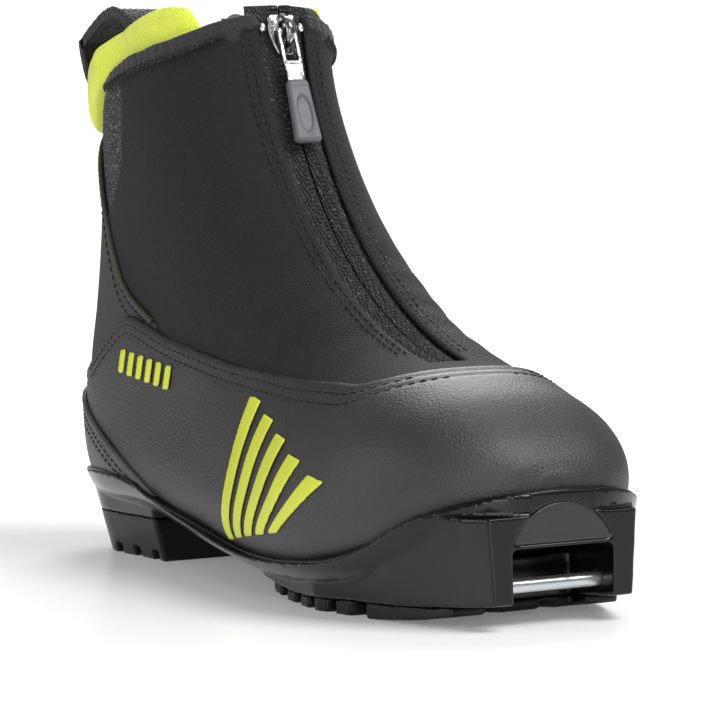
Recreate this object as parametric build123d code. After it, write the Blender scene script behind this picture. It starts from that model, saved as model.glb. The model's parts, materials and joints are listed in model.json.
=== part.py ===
from build123d import *
import math
import os

# Cross country boot, right foot, millimetres. +X runs towards the toe, +Y towards the inner
# (medial) side, +Z up. The model is laid out from the back of the heel and moved at the end, so
# that the origin is under the middle of the boot, on the ground.

# ---- driving dimensions -------------------------------------------------------------------
ORIGIN_X = 116.5           # middle of the boot's length, from the heel datum
ORIGIN_Y = -1.67           # middle of the boot's width
ZIP_X = 228.0              # centre of the arc that the zip follows
ZIP_Z = 191.0
COVER_R = 126.0            # the cover's outer face runs at this radius from that centre
TAPE_DEPTH = 2.0           # zip tape below the cover's outer face
TAPE_THICK = 0.9
TAPE_GAP = 0.6             # half the gap between the two tapes
TAPE_WIDE = 13.0
SLOT_HALF = 7.2            # half width of the slot in the cover
ZIP_TOP = 186.0            # zip's ends, as angles on its arc (degrees)
ZIP_BOTTOM = 256.5
SLIDER_AT = 192.1          # where the closed slider rests on the arc (degrees)
SLIDER_SPAN = 2.8
STOP_ABOVE = 1.7           # the top stops start this far above the slider's middle (degrees)
PIVOT_R = 124.3            # radius of the puller's pivot from the arc's centre
PULLER_LIFT = 9.0          # the puller stands this far off the zip's tangent (degrees)
PULLER_LENGTH = 37.0
SKIN = 1.8                 # cover and upper fabric
OVERLAY = 1.5              # moulded overlay's thickness
LAYER_GAP = 0.1
STRAP_HALF = 7.0           # half width of the strap up the back seam
COUNTER = 1.2              # heel counter panel's thickness
THROAT_HALF = 16.0         # half width of the inner boot's throat, filled by the tongue
CUP_WALL = 2.3             # sole cup's wall
BAR_X = 250.0              # toe bar
BAR_Z = 11.0
BAR_R = 2.0
JAW_HALF = 15.5            # half the free span of the toe bar
JAW_TOP = 21.5             # roof of the jaw
MOON_R = 16.4              # half-moon insert above the jaw
MOON_Z = 16.8
TOE_FRONT = 257.5
TREAD = 4.5                # height of the forefoot lugs
HEEL_TREAD = 14.0
GROOVE_Y = 8.5             # guide grooves under the forefoot
GROOVE_WIDE = 5.0
GROOVE_DEEP = 4.2
LUGS = 5                   # chevron lugs behind the flat pad under the toe
LUG_START = 155.0
LUG_PITCH = 10.4
LUG_WIDE = 6.2
LUG_SWEEP = 4.0            # how far each lug's middle lies ahead of its ends
HEEL_NOTCHES = 4
BARS = 5                   # slanted bars of the side print, and the dashes behind them
DASHES = 6
FILM = 0.35                # thickness of the print
WIDE = 70.0                # half width of every cutting prism


def on_arc(angle, radius=COVER_R):
    """Side-view point on the zip's arc."""
    turn = math.radians(angle)
    return (ZIP_X + radius * math.cos(turn), ZIP_Z + radius * math.sin(turn))


# The foot shape, as cross sections from the cuff to the toe. Each one has its instep point and its
# heel or sole point in side view, its half widths, where it is widest (share from the sole), and
# how square its instep half and its sole half are.
SECTIONS = [
    (on_arc(184.0), (15, 186), 34.5, 32.0, 0.50, 2.1, 2.2),
    (on_arc(190.3), (12, 164), 34.0, 31.5, 0.50, 2.1, 2.2),
    (on_arc(201.0), (8, 138), 33.0, 31.5, 0.50, 2.15, 2.2),
    (on_arc(214.0), (4, 108), 33.0, 33.0, 0.50, 2.4, 2.2),
    (on_arc(226.0), (-2, 80), 33.5, 35.5, 0.48, 2.7, 2.3),
    (on_arc(236.0), (-7, 52), 35.0, 37.5, 0.46, 3.0, 2.4),
    (on_arc(244.0), (3, 22), 35.5, 38.5, 0.44, 3.1, 2.6),
    (on_arc(249.0), (45, 17), 36.5, 39.5, 0.42, 3.1, 2.8),
    (on_arc(253.5), (90, 13.5), 39.0, 41.0, 0.40, 2.9, 3.0),
    (on_arc(258.0), (130, 10), 42.5, 42.0, 0.38, 2.7, 3.2),
    ((213, 65.6), (165, 8), 45.5, 42.5, 0.36, 2.5, 3.2),
    ((223.5, 62.6), (195, 9), 45.0, 41.0, 0.34, 2.4, 3.2),
    ((234.5, 58), (219, 13), 39.0, 37.5, 0.38, 2.4, 3.0),
    ((245, 51), (238, 20), 28.0, 29.5, 0.42, 2.4, 2.6),
    ((250.5, 45), (249, 28), 16.0, 19.0, 0.46, 2.3, 2.4),
    ((253, 40), (253, 34), 5.0, 8.0, 0.50, 2.2, 2.2),
]
MOST_INSET = 0.36          # a section never shrinks by more than this share of its height
LEAST_HALF = 2.0
# Share of the throat's extra depth, and of the pull-back at the toe, in each section.
THROAT_SHARE = [1.0] * 9 + [0.9, 0.55, 0.2, 0.0, 0.0, 0.0, 0.0]
NOSE_SHARE = [0.0] * 12 + [0.3, 0.6, 0.9, 1.0]
LOOP_POINTS = 28

# Seam lines in side view, (x, z).
SOLE_LINE = [(-14, 27), (14, 27), (70, 25), (80, 22), (92, 19.5), (110, 17), (140, 13), (164, 12.5),
             (190, 14), (222, 20.5), (232, 26), (248, 33), (264, 38.5)]
OVERLAY_TOP = [(-14, 58), (0, 62), (20, 72), (44, 77.5), (75, 75), (108, 71), (142, 66), (179, 62.5),
               (205, 63.5), (222, 72), (245, 84), (275, 92)]
PIPING = [(-12, 134), (4, 129), (11, 110), (19, 98), (30, 89), (50, 78.5)]
COVER_REAR = [(54, 157), (34, 141), (25, 121), (21, 108), (24, 95), (34, 84), (50, 74)]
HEM_STITCH = [(10, 149), (46, 151), (58, 153), (75, 155.8), (87, 157), (96, 161), (102, 166), (112, 170)]
HEM_TOP = [(46, 153), (60, 160), (74, 164.5), (88, 168), (96, 171.5), (104, 174), (116, 174.5)]
COLLAR_LOW = [(-16, 140), (0, 142), (20, 147), (38, 153), (51.5, 157.5)]
COLLAR_TOP = [(-16, 168), (4, 175), (30, 177.5), (60, 177.5), (82, 176), (94, 172)]
COUNTER_TOP = [(-14, 55), (0, 53.5), (20, 48), (42, 39.5), (64, 30.5), (88, 19)]


def unit(vx, vz):
    size = math.hypot(vx, vz)
    return vx / size, vz / size


def lean(points, index, along):
    """How squarely the section's line meets the profile at this point, so an offset is a true depth."""
    before = points[max(index - 1, 0)]
    after = points[min(index + 1, len(points) - 1)]
    tx, tz = unit(after[0] - before[0], after[1] - before[1])
    return max(abs(along[0] * tz - along[1] * tx), 0.7)


def section_wire(index, near, side, far):
    """Closed outline of one section, grown by the given depths at instep, sides and sole."""
    top, low, lateral, medial, widest, near_square, far_square = SECTIONS[index]
    dx, dz = unit(top[0] - low[0], top[1] - low[1])
    full = math.hypot(top[0] - low[0], top[1] - low[1])
    top_grow = max(near / lean([row[0] for row in SECTIONS], index, (dx, dz)), -MOST_INSET * full)
    low_grow = max(far / lean([row[1] for row in SECTIONS], index, (dx, dz)), -MOST_INSET * full)
    mid_x = low[0] + dx * full * widest + NOSE_SHARE[index] * side
    mid_z = low[1] + dz * full * widest
    top_half = full * (1 - widest) + top_grow
    low_half = full * widest + low_grow
    points = []
    for step in range(LOOP_POINTS + 1):
        turn = 2 * math.pi * step / LOOP_POINTS
        along, across = math.cos(turn), math.sin(turn)
        square = near_square if along > 0 else far_square
        size = (abs(along) ** square + abs(across) ** square) ** (-1 / square)
        half = max((lateral if across > 0 else medial) + side, LEAST_HALF)
        up = size * along * (top_half if along > 0 else low_half)
        points.append(Vector(mid_x + dx * up, -size * across * half, mid_z + dz * up))
    middle = LOOP_POINTS // 2
    even = [step / middle for step in range(middle + 1)]
    return Wire([Edge.make_spline(points[:middle + 1], parameters=even),
                 Edge.make_spline(points[middle:], parameters=even)])


FORMS = {}


def form(near, side, far, throat=0.0):
    """Solid foot shape grown (or shrunk) by these depths, its throat sunk further by throat."""
    key = (near, side, far, throat)
    if key not in FORMS:
        wires = [section_wire(i, near - throat * share, side, far) for i, share in enumerate(THROAT_SHARE)]
        FORMS[key] = Solid.make_loft(wires)
    return FORMS[key]


def grown(depth, throat=0.0):
    return form(depth, depth, depth, throat)


def prism(curve, corners, low=-WIDE, high=WIDE):
    """Side-view face, one smooth edge closed by straight runs, extruded across the boot."""
    smooth = Edge.make_spline([Vector(x, low, z) for x, z in curve])
    ends = [curve[-1], *corners, curve[0]]
    runs = [Edge.make_line(Vector(a[0], low, a[1]), Vector(b[0], low, b[1])) for a, b in zip(ends, ends[1:])]
    return Solid.extrude(Face(Wire([smooth, *runs])), Vector(0, high - low, 0))


def slab(corners):
    """Prism over a side-view polygon, through the whole width."""
    face = Face(Wire(Polyline(*[(x, -WIDE, z) for x, z in corners], close=True).edges()))
    return Solid.extrude(face, Vector(0, 2 * WIDE, 0))


def below(curve, floor=-30):
    return prism(curve, [(curve[-1][0], floor), (curve[0][0], floor)])


def above(curve, roof=230):
    return prism(curve, [(curve[-1][0], roof), (curve[0][0], roof)])


def block(x0, x1, y0, y1, z0, z1):
    return Solid.make_box(x1 - x0, y1 - y0, z1 - z0, Plane(origin=(x0, y0, z0)))


def shifted(curve, dx, dz):
    return [(x + dx, z + dz) for x, z in curve]


def arc_band(inner, outer, start, end, y0, y1):
    """Part of a ring about the zip's axis, between two radii and two angles, from y0 to y1."""
    def at(radius, angle):
        x, z = on_arc(angle, radius)
        return Vector(x, y0, z)
    middle = (start + end) / 2
    edges = [
        Edge.make_three_point_arc(at(inner, start), at(inner, middle), at(inner, end)),
        Edge.make_line(at(inner, end), at(outer, end)),
        Edge.make_three_point_arc(at(outer, end), at(outer, middle), at(outer, start)),
        Edge.make_line(at(outer, start), at(inner, start)),
    ]
    return Solid.extrude(Face(Wire(edges)), Vector(0, y1 - y0, 0))


def pieces(shape, least=2.0):
    """The solids of a cut, without slivers."""
    return [solid for solid in shape.solids() if solid.volume > least]


def common(first, *others):
    result = first
    for other in others:
        result = result & other
    return result


def layer(outer, inner, *regions):
    """What lies between two foot shapes, inside every region."""
    return common(outer, *regions) - inner


NODES = {}


def node(name, shape, least=2.0):
    """Keeps the solids of a shape, or a list of solids, under the node's name."""
    solids = shape if isinstance(shape, list) else pieces(shape, least)
    NODES[name] = solids
    print(f"{name:24s} {len(solids):3d} solids  {sum(s.volume for s in solids):10.1f} mm3")


LATERAL = block(-60, 320, -WIDE, 0, -40, 240)
MEDIAL = block(-60, 320, 0, WIDE, -40, 240)
SIDES = {"lateral": LATERAL, "medial": MEDIAL}

skin_out = grown(0)
skin_in = grown(-SKIN)
over_in = grown(LAYER_GAP)
over_out = grown(LAYER_GAP + OVERLAY)
panel_out = grown(1.2)

# ---- outer skin ---------------------------------------------------------------------------
slot = arc_band(100, 150, 170, ZIP_BOTTOM, -SLOT_HALF, SLOT_HALF)
seat_line = shifted(OVERLAY_TOP, 0, -4)
over_seat = above(seat_line)
cover_edge = prism(COVER_REAR, [(50, 40), (300, 40), (300, 220), (54, 220)])
cover_zone = common(cover_edge, over_seat, below(HEM_STITCH + [(260, 190)]))
hem_block = block(54.3, 111, -WIDE, WIDE, 140, 190)
hem_zone = common(above(shifted(HEM_STITCH, 0, 0.15)), below(HEM_TOP), hem_block)
hem_out = grown(1.4)


def make_cover():
    cover = layer(skin_out, skin_in, cover_zone) - slot
    hem = layer(hem_out, skin_in, hem_zone) - slot
    for side, half in SIDES.items():
        node("cover_" + side, cover & half)
        node("hem_" + side, hem & half)


def make_base_upper():
    vamp = layer(skin_out, skin_in, below(shifted(seat_line, 0, -0.15)))
    node("base_upper", vamp)
    rear_edge = prism(shifted(COVER_REAR, -0.3, 0), [(50, 40), (-30, 40), (-30, 157)])
    mesh = layer(skin_out, skin_in, rear_edge, over_seat, below(shifted(COLLAR_LOW, 0, -0.2) + [(60, 160)]))
    node("rear_mesh_panel", mesh)


def make_ankle_panels():
    behind = prism(PIPING, [(50, 40), (-30, 40), (-30, 134)])
    zone = common(behind, above(shifted(OVERLAY_TOP, 0, 0.2)))
    band = layer(panel_out, over_in, zone)
    seam = prism(PIPING, list(reversed(shifted(PIPING, 1.6, 1.0))))
    bead = layer(grown(1.9), over_in, seam, above(shifted(OVERLAY_TOP, 0, 0.3)))
    bead = bead - block(-40, 30, -STRAP_HALF - 0.2, STRAP_HALF + 0.2, 40, 160)
    for side, half in SIDES.items():
        node("ankle_panel_" + side, band & half)
        node("piping_" + side, bead & half)


def make_overlays():
    zone = common(below(OVERLAY_TOP), above(shifted(SOLE_LINE, 0, -5)))
    node("lower_overlay", layer(over_out, over_in, zone))
    inner = LAYER_GAP + OVERLAY + LAYER_GAP
    counter_zone = common(below(COUNTER_TOP), above(shifted(SOLE_LINE, 0, 1.5)))
    node("heel_counter_panel", layer(grown(inner + COUNTER), grown(inner), counter_zone))
    strap_zone = common(above(shifted(OVERLAY_TOP, 0, 0.3)), below(shifted(COLLAR_LOW, 0, -0.4)),
                        block(-30, 40, -STRAP_HALF, STRAP_HALF, 40, 150))
    node("back_strap", layer(grown(2.2), grown(1.3), strap_zone))


def make_graphics():
    """A fan of slanted bars on each side, and a short row of dashes behind it."""
    inner = LAYER_GAP + OVERLAY + 0.05
    film = layer(grown(inner + FILM), grown(inner), block(40, 215, -WIDE, WIDE, 5, 80))
    bars = []
    for step in range(BARS):
        foot, head = 141 + 9.5 * step, 150 + 13.0 * step
        low, high = 17 + 1.2 * step, 57 - 4.6 * step
        bars += pieces(film & slab([(foot, low), (foot + 5.5, low), (head + 7, high), (head, high)]), 0.5)
    node("side_bars", bars)
    dashes = []
    for step in range(DASHES):
        x, z = 58 + 6.6 * step, 61 - 0.75 * step
        dashes += pieces(film & slab([(x, z), (x + 3.4, z), (x + 5.6, z + 7), (x + 2.2, z + 7)]), 0.5)
    node("side_dashes", dashes)


# ---- inner boot ---------------------------------------------------------------------------
THROAT = 9.2
BOARD_OUT = 1.95
BOARD_IN = 3.3
LINER_OUT = 5.6
LINER_IN = 7.0
board_out = form(-BOARD_OUT, -BOARD_OUT, -BOARD_OUT, THROAT)
pad_out = form(-BOARD_IN - 0.1, -3.0, -BOARD_IN - 0.1, THROAT - 1.5)
pad_in = form(-LINER_OUT + LAYER_GAP, -LINER_OUT + LAYER_GAP, -LINER_OUT + LAYER_GAP, THROAT)
liner_out = form(-LINER_OUT, -LINER_OUT, -LINER_OUT, THROAT)
liner_in = form(-LINER_IN, -LINER_IN, -LINER_IN, THROAT)
BOARD_TOP = [(-20, 27), (20, 27), (60, 24), (100, 20), (140, 16), (180, 15), (215, 19), (235, 25), (262, 38)]
FOOTBED_TOP = [(-20, 34), (20, 33), (50, 29.5), (90, 26.5), (130, 23), (165, 20.5), (195, 21.5),
               (225, 27), (262, 38)]


def make_inner_boot():
    stiff = layer(board_out, form(-BOARD_IN, -2.9, -BOARD_IN, THROAT - 1.5))
    board = stiff & below(BOARD_TOP)
    shank = common(board, block(45, 150, -7, 7, 5, 40))
    node("shank", shank)
    node("lasting_board", board - block(44.9, 150.1, -7.1, 7.1, 5, 40))
    node("heel_cup", common(stiff, above(shifted(BOARD_TOP, 0, 0.2)), block(-40, 58, -WIDE, WIDE, 0, 68)))
    node("toe_puff", common(stiff, above(shifted(BOARD_TOP, 0, 0.2)), block(214, 270, -WIDE, WIDE, 0, 90)))
    throat = arc_band(90, 160, 170, 253, -THROAT_HALF, THROAT_HALF)
    rim = [(-40, 0), (-40, 140.5), (0, 141.5), (20, 146.5), (38, 152.5), (51, 156.5), (51, 151.5),
           (94.3, 151.5), (94.3, 171), (300, 171), (300, 0)]
    node("quarter_padding", layer(pad_out, pad_in, slab(rim)) - throat)
    tongue_zone = arc_band(90, 159, 186.5, 252.8, -THROAT_HALF + 0.3, THROAT_HALF - 0.3)
    node("tongue", layer(pad_out, pad_in, tongue_zone))
    node("lining", layer(liner_out, liner_in, below(shifted(COLLAR_TOP, 0, -3) + [(130, 166)])
                         + block(129.9, 300, -WIDE, WIDE, 0, 166)))
    bed = common(form(-LINER_IN - 0.15, -LINER_IN - 0.15, -LINER_IN - 0.15, THROAT),
                 below(FOOTBED_TOP))
    node("footbed", bed)


def make_laces():
    """Flat laces across the tongue, each held by a webbing loop on both sides."""
    outer = form(-3.4, -3.0, -3.4, THROAT - 3.4)
    inner = form(-3.4, -3.0, -3.4, THROAT - 1.65)
    laces = []
    loops = []
    for angle in range(198, 246, 9):
        lace = arc_band(120, 150, angle, angle + 1.7, -14.6, 14.6)
        laces += pieces(common(outer, lace) - inner)
        for side in (-1, 1):
            ends = sorted((side * 14.8, side * 20.0))
            tab = arc_band(120, 160, angle - 1.0, angle + 2.7, ends[0], ends[1])
            loops += pieces(common(outer, tab) - inner)
    node("laces", laces)
    node("lace_loops", loops)


def make_collar():
    rear_half = block(-40, 51.5, -WIDE, WIDE, 130, 190)
    front_half = block(51.4, 94, -WIDE, WIDE, 152, 190)
    back = common(form(-6, 1.2, 4.0), above(COLLAR_LOW), below(COLLAR_TOP), rear_half)
    front = common(form(-6, -SKIN - 0.3, -SKIN - 0.3), below(COLLAR_TOP), front_half)
    throat = block(80, 130, -THROAT_HALF - 0.3, THROAT_HALF + 0.3, 140, 190)
    node("heel_collar", (back + front) - liner_out - throat)


def make_pull_loop():
    """Webbing strap sewn to the top and the back of the collar, with a finger gap inside."""
    outer = [(9, 178.9), (-6, 182), (-17, 179), (-24, 171), (-22.5, 160), (-14, 151.5), (7, 146)]
    inner = [(7, 148.4), (-12.6, 153.7), (-20.3, 161.2), (-21.8, 170.2), (-15.8, 176.8), (-6, 179.8),
             (9, 176.8)]
    top_edge = Edge.make_spline([Vector(x, -11.5, z) for x, z in outer])
    low_edge = Edge.make_spline([Vector(x, -11.5, z) for x, z in inner])
    joins = [Edge.make_line(top_edge @ 1, low_edge @ 0), Edge.make_line(low_edge @ 1, top_edge @ 0)]
    strap = Solid.extrude(Face(Wire([top_edge, *joins[:1], low_edge, joins[1]])), Vector(0, 23, 0))
    node("pull_loop", strap - form(-6, 1.3, 4.1))


# ---- zip ----------------------------------------------------------------------------------
def make_zip():
    face_out = form(-TAPE_DEPTH, -TAPE_DEPTH, -TAPE_DEPTH)
    face_in = form(-TAPE_DEPTH - TAPE_THICK, -TAPE_DEPTH - TAPE_THICK, -TAPE_DEPTH - TAPE_THICK)
    for name, side in (("lateral", -1), ("medial", 1)):
        ends = sorted((side * TAPE_GAP, side * TAPE_WIDE))
        strip = arc_band(110, 140, ZIP_TOP, ZIP_BOTTOM + 1.5, ends[0], ends[1])
        node("zip_tape_" + name, layer(face_out, face_in, strip))
        ends = sorted((side * TAPE_GAP, side * (TAPE_GAP + 2.1)))
        node("zip_coil_" + name, arc_band(129.2, 130.9, ZIP_TOP + 1, ZIP_BOTTOM - 0.6, ends[0], ends[1]))
    high = SLIDER_AT - STOP_ABOVE
    stops = [arc_band(126.9, 128.05, high, high + 1.1, *sorted((side * 5.7, side * 7.0))) for side in (-1, 1)]
    node("zip_top_stops", stops)
    node("zip_bottom_stop", arc_band(129.2, 131.1, ZIP_BOTTOM - 0.5, ZIP_BOTTOM + 0.5, -3, 3))


def make_slider():
    start = SLIDER_AT - SLIDER_SPAN
    end = SLIDER_AT + SLIDER_SPAN
    top = arc_band(126.1, 127.5, start, end, -5.0, 5.0)
    base = arc_band(131.3, 132.3, start, end, -4.2, 4.2)
    post = arc_band(127.4, 131.4, start, start + 1.6, -0.3, 0.3)
    bridge = arc_band(121.5, 122.8, start + 0.5, end - 0.9, -1.1, 1.1)
    legs = [arc_band(122.7, 126.2, a, a + 0.6, -1.1, 1.1) for a in (start + 0.5, end - 1.5)]
    node("zip_slider", top + base + post + bridge + legs[0] + legs[1])


def puller_plane():
    """Plane of the puller: origin on its pivot, x down the puller, z away from the boot."""
    turn = math.radians(SLIDER_AT)
    lift = math.radians(PULLER_LIFT)
    px, pz = on_arc(SLIDER_AT, PIVOT_R)
    along = (-math.sin(turn + lift), math.cos(turn + lift))
    out = (-math.cos(turn + lift), -math.sin(turn + lift))
    return Plane(origin=(px, 0, pz), x_dir=(along[0], 0, along[1]), z_dir=(out[0], 0, out[1]))


def make_puller():
    arms = Polyline((-1.6, -3.3), (9.5, -3.3), (15, -2.9), (19, -2.9), (19, 2.9), (15, 2.9), (9.5, 3.3),
                    (-1.6, 3.3), close=True)
    window = Polyline((0.9, -2.0), (9.3, -2.0), (9.3, 2.0), (0.9, 2.0), close=True)
    mouth = Polyline((-2, -2.0), (-0.9, -2.0), (-0.9, 2.0), (-2, 2.0), close=True)
    link = extrude(make_face(arms.edges()), 0.6, both=True)
    link = link - extrude(make_face(window.edges()), 2, both=True)
    link = link - extrude(make_face(mouth.edges()), 2, both=True)
    pin = Rot(90, 0, 0) * Cylinder(0.8, 5.0)
    link = link + pin
    end = PULLER_LENGTH - 1
    outline = Polyline((15.8, -3.6), (end, -4.3), (end, 4.3), (15.8, 3.6), close=True)
    grip = extrude(make_face(outline.edges()), 1.3, both=True)
    grip = fillet(grip.edges().filter_by(Axis.Z), 1.2)
    grip = chamfer(grip.faces().sort_by(Axis.Z)[-1].edges(), 0.4)
    dish = Pos(27, 0, 1.3) * extrude(SlotOverall(12, 4.2), 0.4, both=True)
    grip = grip - dish - link
    plane = puller_plane()
    node("puller_link", plane.location * link)
    node("puller_grip", plane.location * grip)


# ---- sole ---------------------------------------------------------------------------------
def heel_outline(x_back, half, z):
    """D-shaped plan outline of the heel, round at the back and open ended at the breast."""
    front = 61
    arc = Edge.make_three_point_arc(Vector(x_back + half, half, z), Vector(x_back, 0, z),
                                    Vector(x_back + half, -half, z))
    runs = [Vector(x_back + half, -half, z), Vector(front, -half + 0.5, z), Vector(front, half - 0.5, z),
            Vector(x_back + half, half, z)]
    return Wire([arc, *[Edge.make_line(a, b) for a, b in zip(runs, runs[1:])]])


def plan_wire(points, z):
    return Wire(Polyline(*[(x, y, z) for x, y in points], close=True).edges())


def make_sole():
    clear = grown(LAYER_GAP * 2 + OVERLAY)
    wall = LAYER_GAP * 2 + OVERLAY + CUP_WALL
    rim = below(SOLE_LINE)
    cup = common(form(wall, wall, wall + 0.6), rim)
    heel = Solid.make_loft([heel_outline(2.5, 24, 0), heel_outline(-4, 31, 27)], ruled=True)
    waist = block(58, 160, -26, 26, -5, 9)
    bottom_plan = [(152, -34), (190, -38), (226, -32), (250, -24), (TOE_FRONT, -21), (TOE_FRONT, 21),
                   (250, 24), (226, 32), (190, 36), (152, 33)]
    top_plan = [(152, -40), (190, -44), (226, -41), (250, -27), (TOE_FRONT, -23), (TOE_FRONT, 23),
                (250, 27), (226, 40), (190, 41), (152, 38)]
    toe = Solid.make_loft([plan_wire(bottom_plan, 0), plan_wire(top_plan, 30)], ruled=True)
    spring = above([(150, TREAD + 2), (160, TREAD), (206, TREAD), (226, TREAD + 0.4), (262, 7.5)], 60)
    toe = common(toe, spring, rim)
    plate = cup + common(heel, rim, block(-30, 61, -WIDE, WIDE, HEEL_TREAD, 40)) + toe
    plate = plate - clear
    jaw = block(236, 275, -JAW_HALF, JAW_HALF, -5, JAW_TOP)
    moon = Pos(TOE_FRONT, 0, MOON_Z) * Rot(0, 90, 0) * Cylinder(MOON_R, 2.4)
    moon = common(moon, block(240, 275, -WIDE, WIDE, JAW_TOP + 1.1, 60))
    bar_hole = Pos(BAR_X, 0, BAR_Z) * Rot(90, 0, 0) * Cylinder(BAR_R, 2 * JAW_HALF + 8)
    node("toe_bar", bar_hole)
    plate = plate - jaw - bar_hole - moon
    node("toe_insert", common(moon, block(TOE_FRONT - 1.2, TOE_FRONT - 0.2, -WIDE, WIDE, JAW_TOP + 1.1, 60)))
    grooves = [block(165, 236, side * GROOVE_Y - GROOVE_WIDE / 2, side * GROOVE_Y + GROOVE_WIDE / 2,
                     -5, GROOVE_DEEP) for side in (-1, 1)]
    node("sole_plate", plate, 50)
    band = common(above(shifted(SOLE_LINE, 0, 0.05)), below(shifted(SOLE_LINE, 0, 1.3)))
    node("rand_bead", layer(grown(wall - 0.9), clear, band))
    make_treads(plate, heel, plan_wire(bottom_plan, 0), plan_wire(bottom_plan, 8), grooves)


def make_treads(plate, heel, low_wire, high_wire, grooves):
    pad = common(heel, block(-30, 60.5, -WIDE, WIDE, 0, HEEL_TREAD))
    for step in range(HEEL_NOTCHES):
        pad = pad - Pos(11 + 13.5 * step, 0, 0) * Rot(0, 0, 8) * Box(4.0, 2 * WIDE, 7.0)
    pad = pad - block(16, 52, -9, 9, -1, 3.5)
    node("heel_tread", pad - plate)
    sheet = Solid.make_loft([low_wire, high_wire], ruled=True)
    rise = slab([(150, 3.2), (166, 0.4), (176, 0), (216, 0), (232, 1.4), (262, 6), (262, 40), (150, 40)])
    under = below([(150, TREAD + 1.9), (160, TREAD - 0.05), (206, TREAD - 0.05), (226, TREAD + 0.35),
                   (262, 7.4)])
    sheet = common(sheet, rise, under)
    lugs = block(211, 243, -WIDE, WIDE, -2, 12)
    for step in range(LUGS):
        back = LUG_START + LUG_PITCH * step
        front = back + LUG_WIDE
        plan = [(back, -46), (front, -46), (front + LUG_SWEEP, -20), (front + LUG_SWEEP, 20), (front, 46),
                (back, 46), (back + LUG_SWEEP, 20), (back + LUG_SWEEP, -20)]
        lugs = lugs + Solid.extrude(Face(plan_wire(plan, -2)), Vector(0, 0, 14))
    tread = common(sheet, lugs) - block(235.8, 275, -JAW_HALF - 0.5, JAW_HALF + 0.5, -5, JAW_TOP)
    for groove in grooves:
        tread = tread - groove
    node("forefoot_tread", tread - plate)


def write_parts():
    os.makedirs("parts", exist_ok=True)
    move = Location((-ORIGIN_X, -ORIGIN_Y, 0))
    for name, solids in NODES.items():
        moved = [solid.moved(move) for solid in solids]
        export_step(moved[0] if len(moved) == 1 else Compound(moved), os.path.join("parts", name + ".step"))
    box = Compound([solid.moved(move) for solids in NODES.values() for solid in solids]).bounding_box()
    print("box", box.min, box.max)


make_cover()
make_base_upper()
make_ankle_panels()
make_overlays()
make_graphics()
make_inner_boot()
make_laces()
make_collar()
make_pull_loop()
make_zip()
make_slider()
make_puller()
make_sole()
write_parts()
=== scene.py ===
# %% [markdown]
# Cross country boot: the looks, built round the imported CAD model.
# Each cell first says what a piece is on a real boot, how it could be made and why this way was
# chosen; then a short code cell makes it. All lengths are thought of in millimetres and turned into
# metres by one helper, because a boot maker works in millimetres and Blender works in metres.

# %% Load the frame
import json
import math

import bmesh
import bpy
import numpy as np
from mathutils import Matrix, Vector, noise
from mathutils.bvhtree import BVHTree


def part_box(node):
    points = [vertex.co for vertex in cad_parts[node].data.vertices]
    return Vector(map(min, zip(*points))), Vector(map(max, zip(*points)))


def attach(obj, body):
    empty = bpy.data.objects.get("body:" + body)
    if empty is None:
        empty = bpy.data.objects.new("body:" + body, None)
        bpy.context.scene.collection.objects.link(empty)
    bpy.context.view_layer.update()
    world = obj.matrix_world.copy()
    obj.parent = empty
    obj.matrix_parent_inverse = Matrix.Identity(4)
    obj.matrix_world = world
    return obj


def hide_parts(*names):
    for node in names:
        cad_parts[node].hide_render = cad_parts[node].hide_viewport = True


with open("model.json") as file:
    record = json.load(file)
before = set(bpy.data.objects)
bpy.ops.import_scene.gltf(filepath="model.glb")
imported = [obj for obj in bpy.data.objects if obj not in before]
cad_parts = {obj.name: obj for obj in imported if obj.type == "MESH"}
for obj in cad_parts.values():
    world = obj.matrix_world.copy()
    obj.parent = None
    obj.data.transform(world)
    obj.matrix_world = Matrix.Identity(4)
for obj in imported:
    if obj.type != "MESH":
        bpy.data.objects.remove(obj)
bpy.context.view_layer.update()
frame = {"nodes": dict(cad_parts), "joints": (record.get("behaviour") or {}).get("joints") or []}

MM = 0.001
nodes = frame["nodes"]

# %% [markdown]
# The CAD model was laid out from the back of the heel, then moved so that its origin is under the
# middle of the boot. The slider's hinge sits on the zip's arc, so its place gives that shift back
# with nothing to guess: the arc's centre is at x = 228, y = 0, z = 191 in the maker's layout.

# %% The maker's layout and the frame
ZIP_CENTRE = (228.0, 191.0)
ARC_R = 126.0
zip_joint = next(j for j in frame["joints"] if j["name"] == "zip_travel")
SHIFT_X = zip_joint["pos_m"][0] / MM - ZIP_CENTRE[0]
SHIFT_Y = zip_joint["pos_m"][1] / MM


def place(points):
    """Layout millimetres to frame metres, for one point or an array of them."""
    return (np.asarray(points, float) + (SHIFT_X, SHIFT_Y, 0.0)) * MM


def to_layout(points):
    """Frame metres back to layout millimetres."""
    return np.array(points) / MM - (SHIFT_X, SHIFT_Y, 0.0)


def on_arc(angle, radius=ARC_R):
    turn = math.radians(angle)
    return ZIP_CENTRE[0] + radius * math.cos(turn), ZIP_CENTRE[1] + radius * math.sin(turn)


def arc_angle(p):
    """Angle of points on the zip's arc, in degrees."""
    return np.degrees(np.arctan2(p[:, 2] - ZIP_CENTRE[1], p[:, 0] - ZIP_CENTRE[0])) % 360


print("shift", round(SHIFT_X, 3), round(SHIFT_Y, 3))

# %% [markdown]
# Everything soft on this boot is one skin stretched over a foot shape. Modelling every panel by
# hand would leave gaps, so the foot shape is written once as sixteen cross sections from the cuff
# to the toe, the same ones as in the CAD, and every panel is cut out of that one surface.

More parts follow.
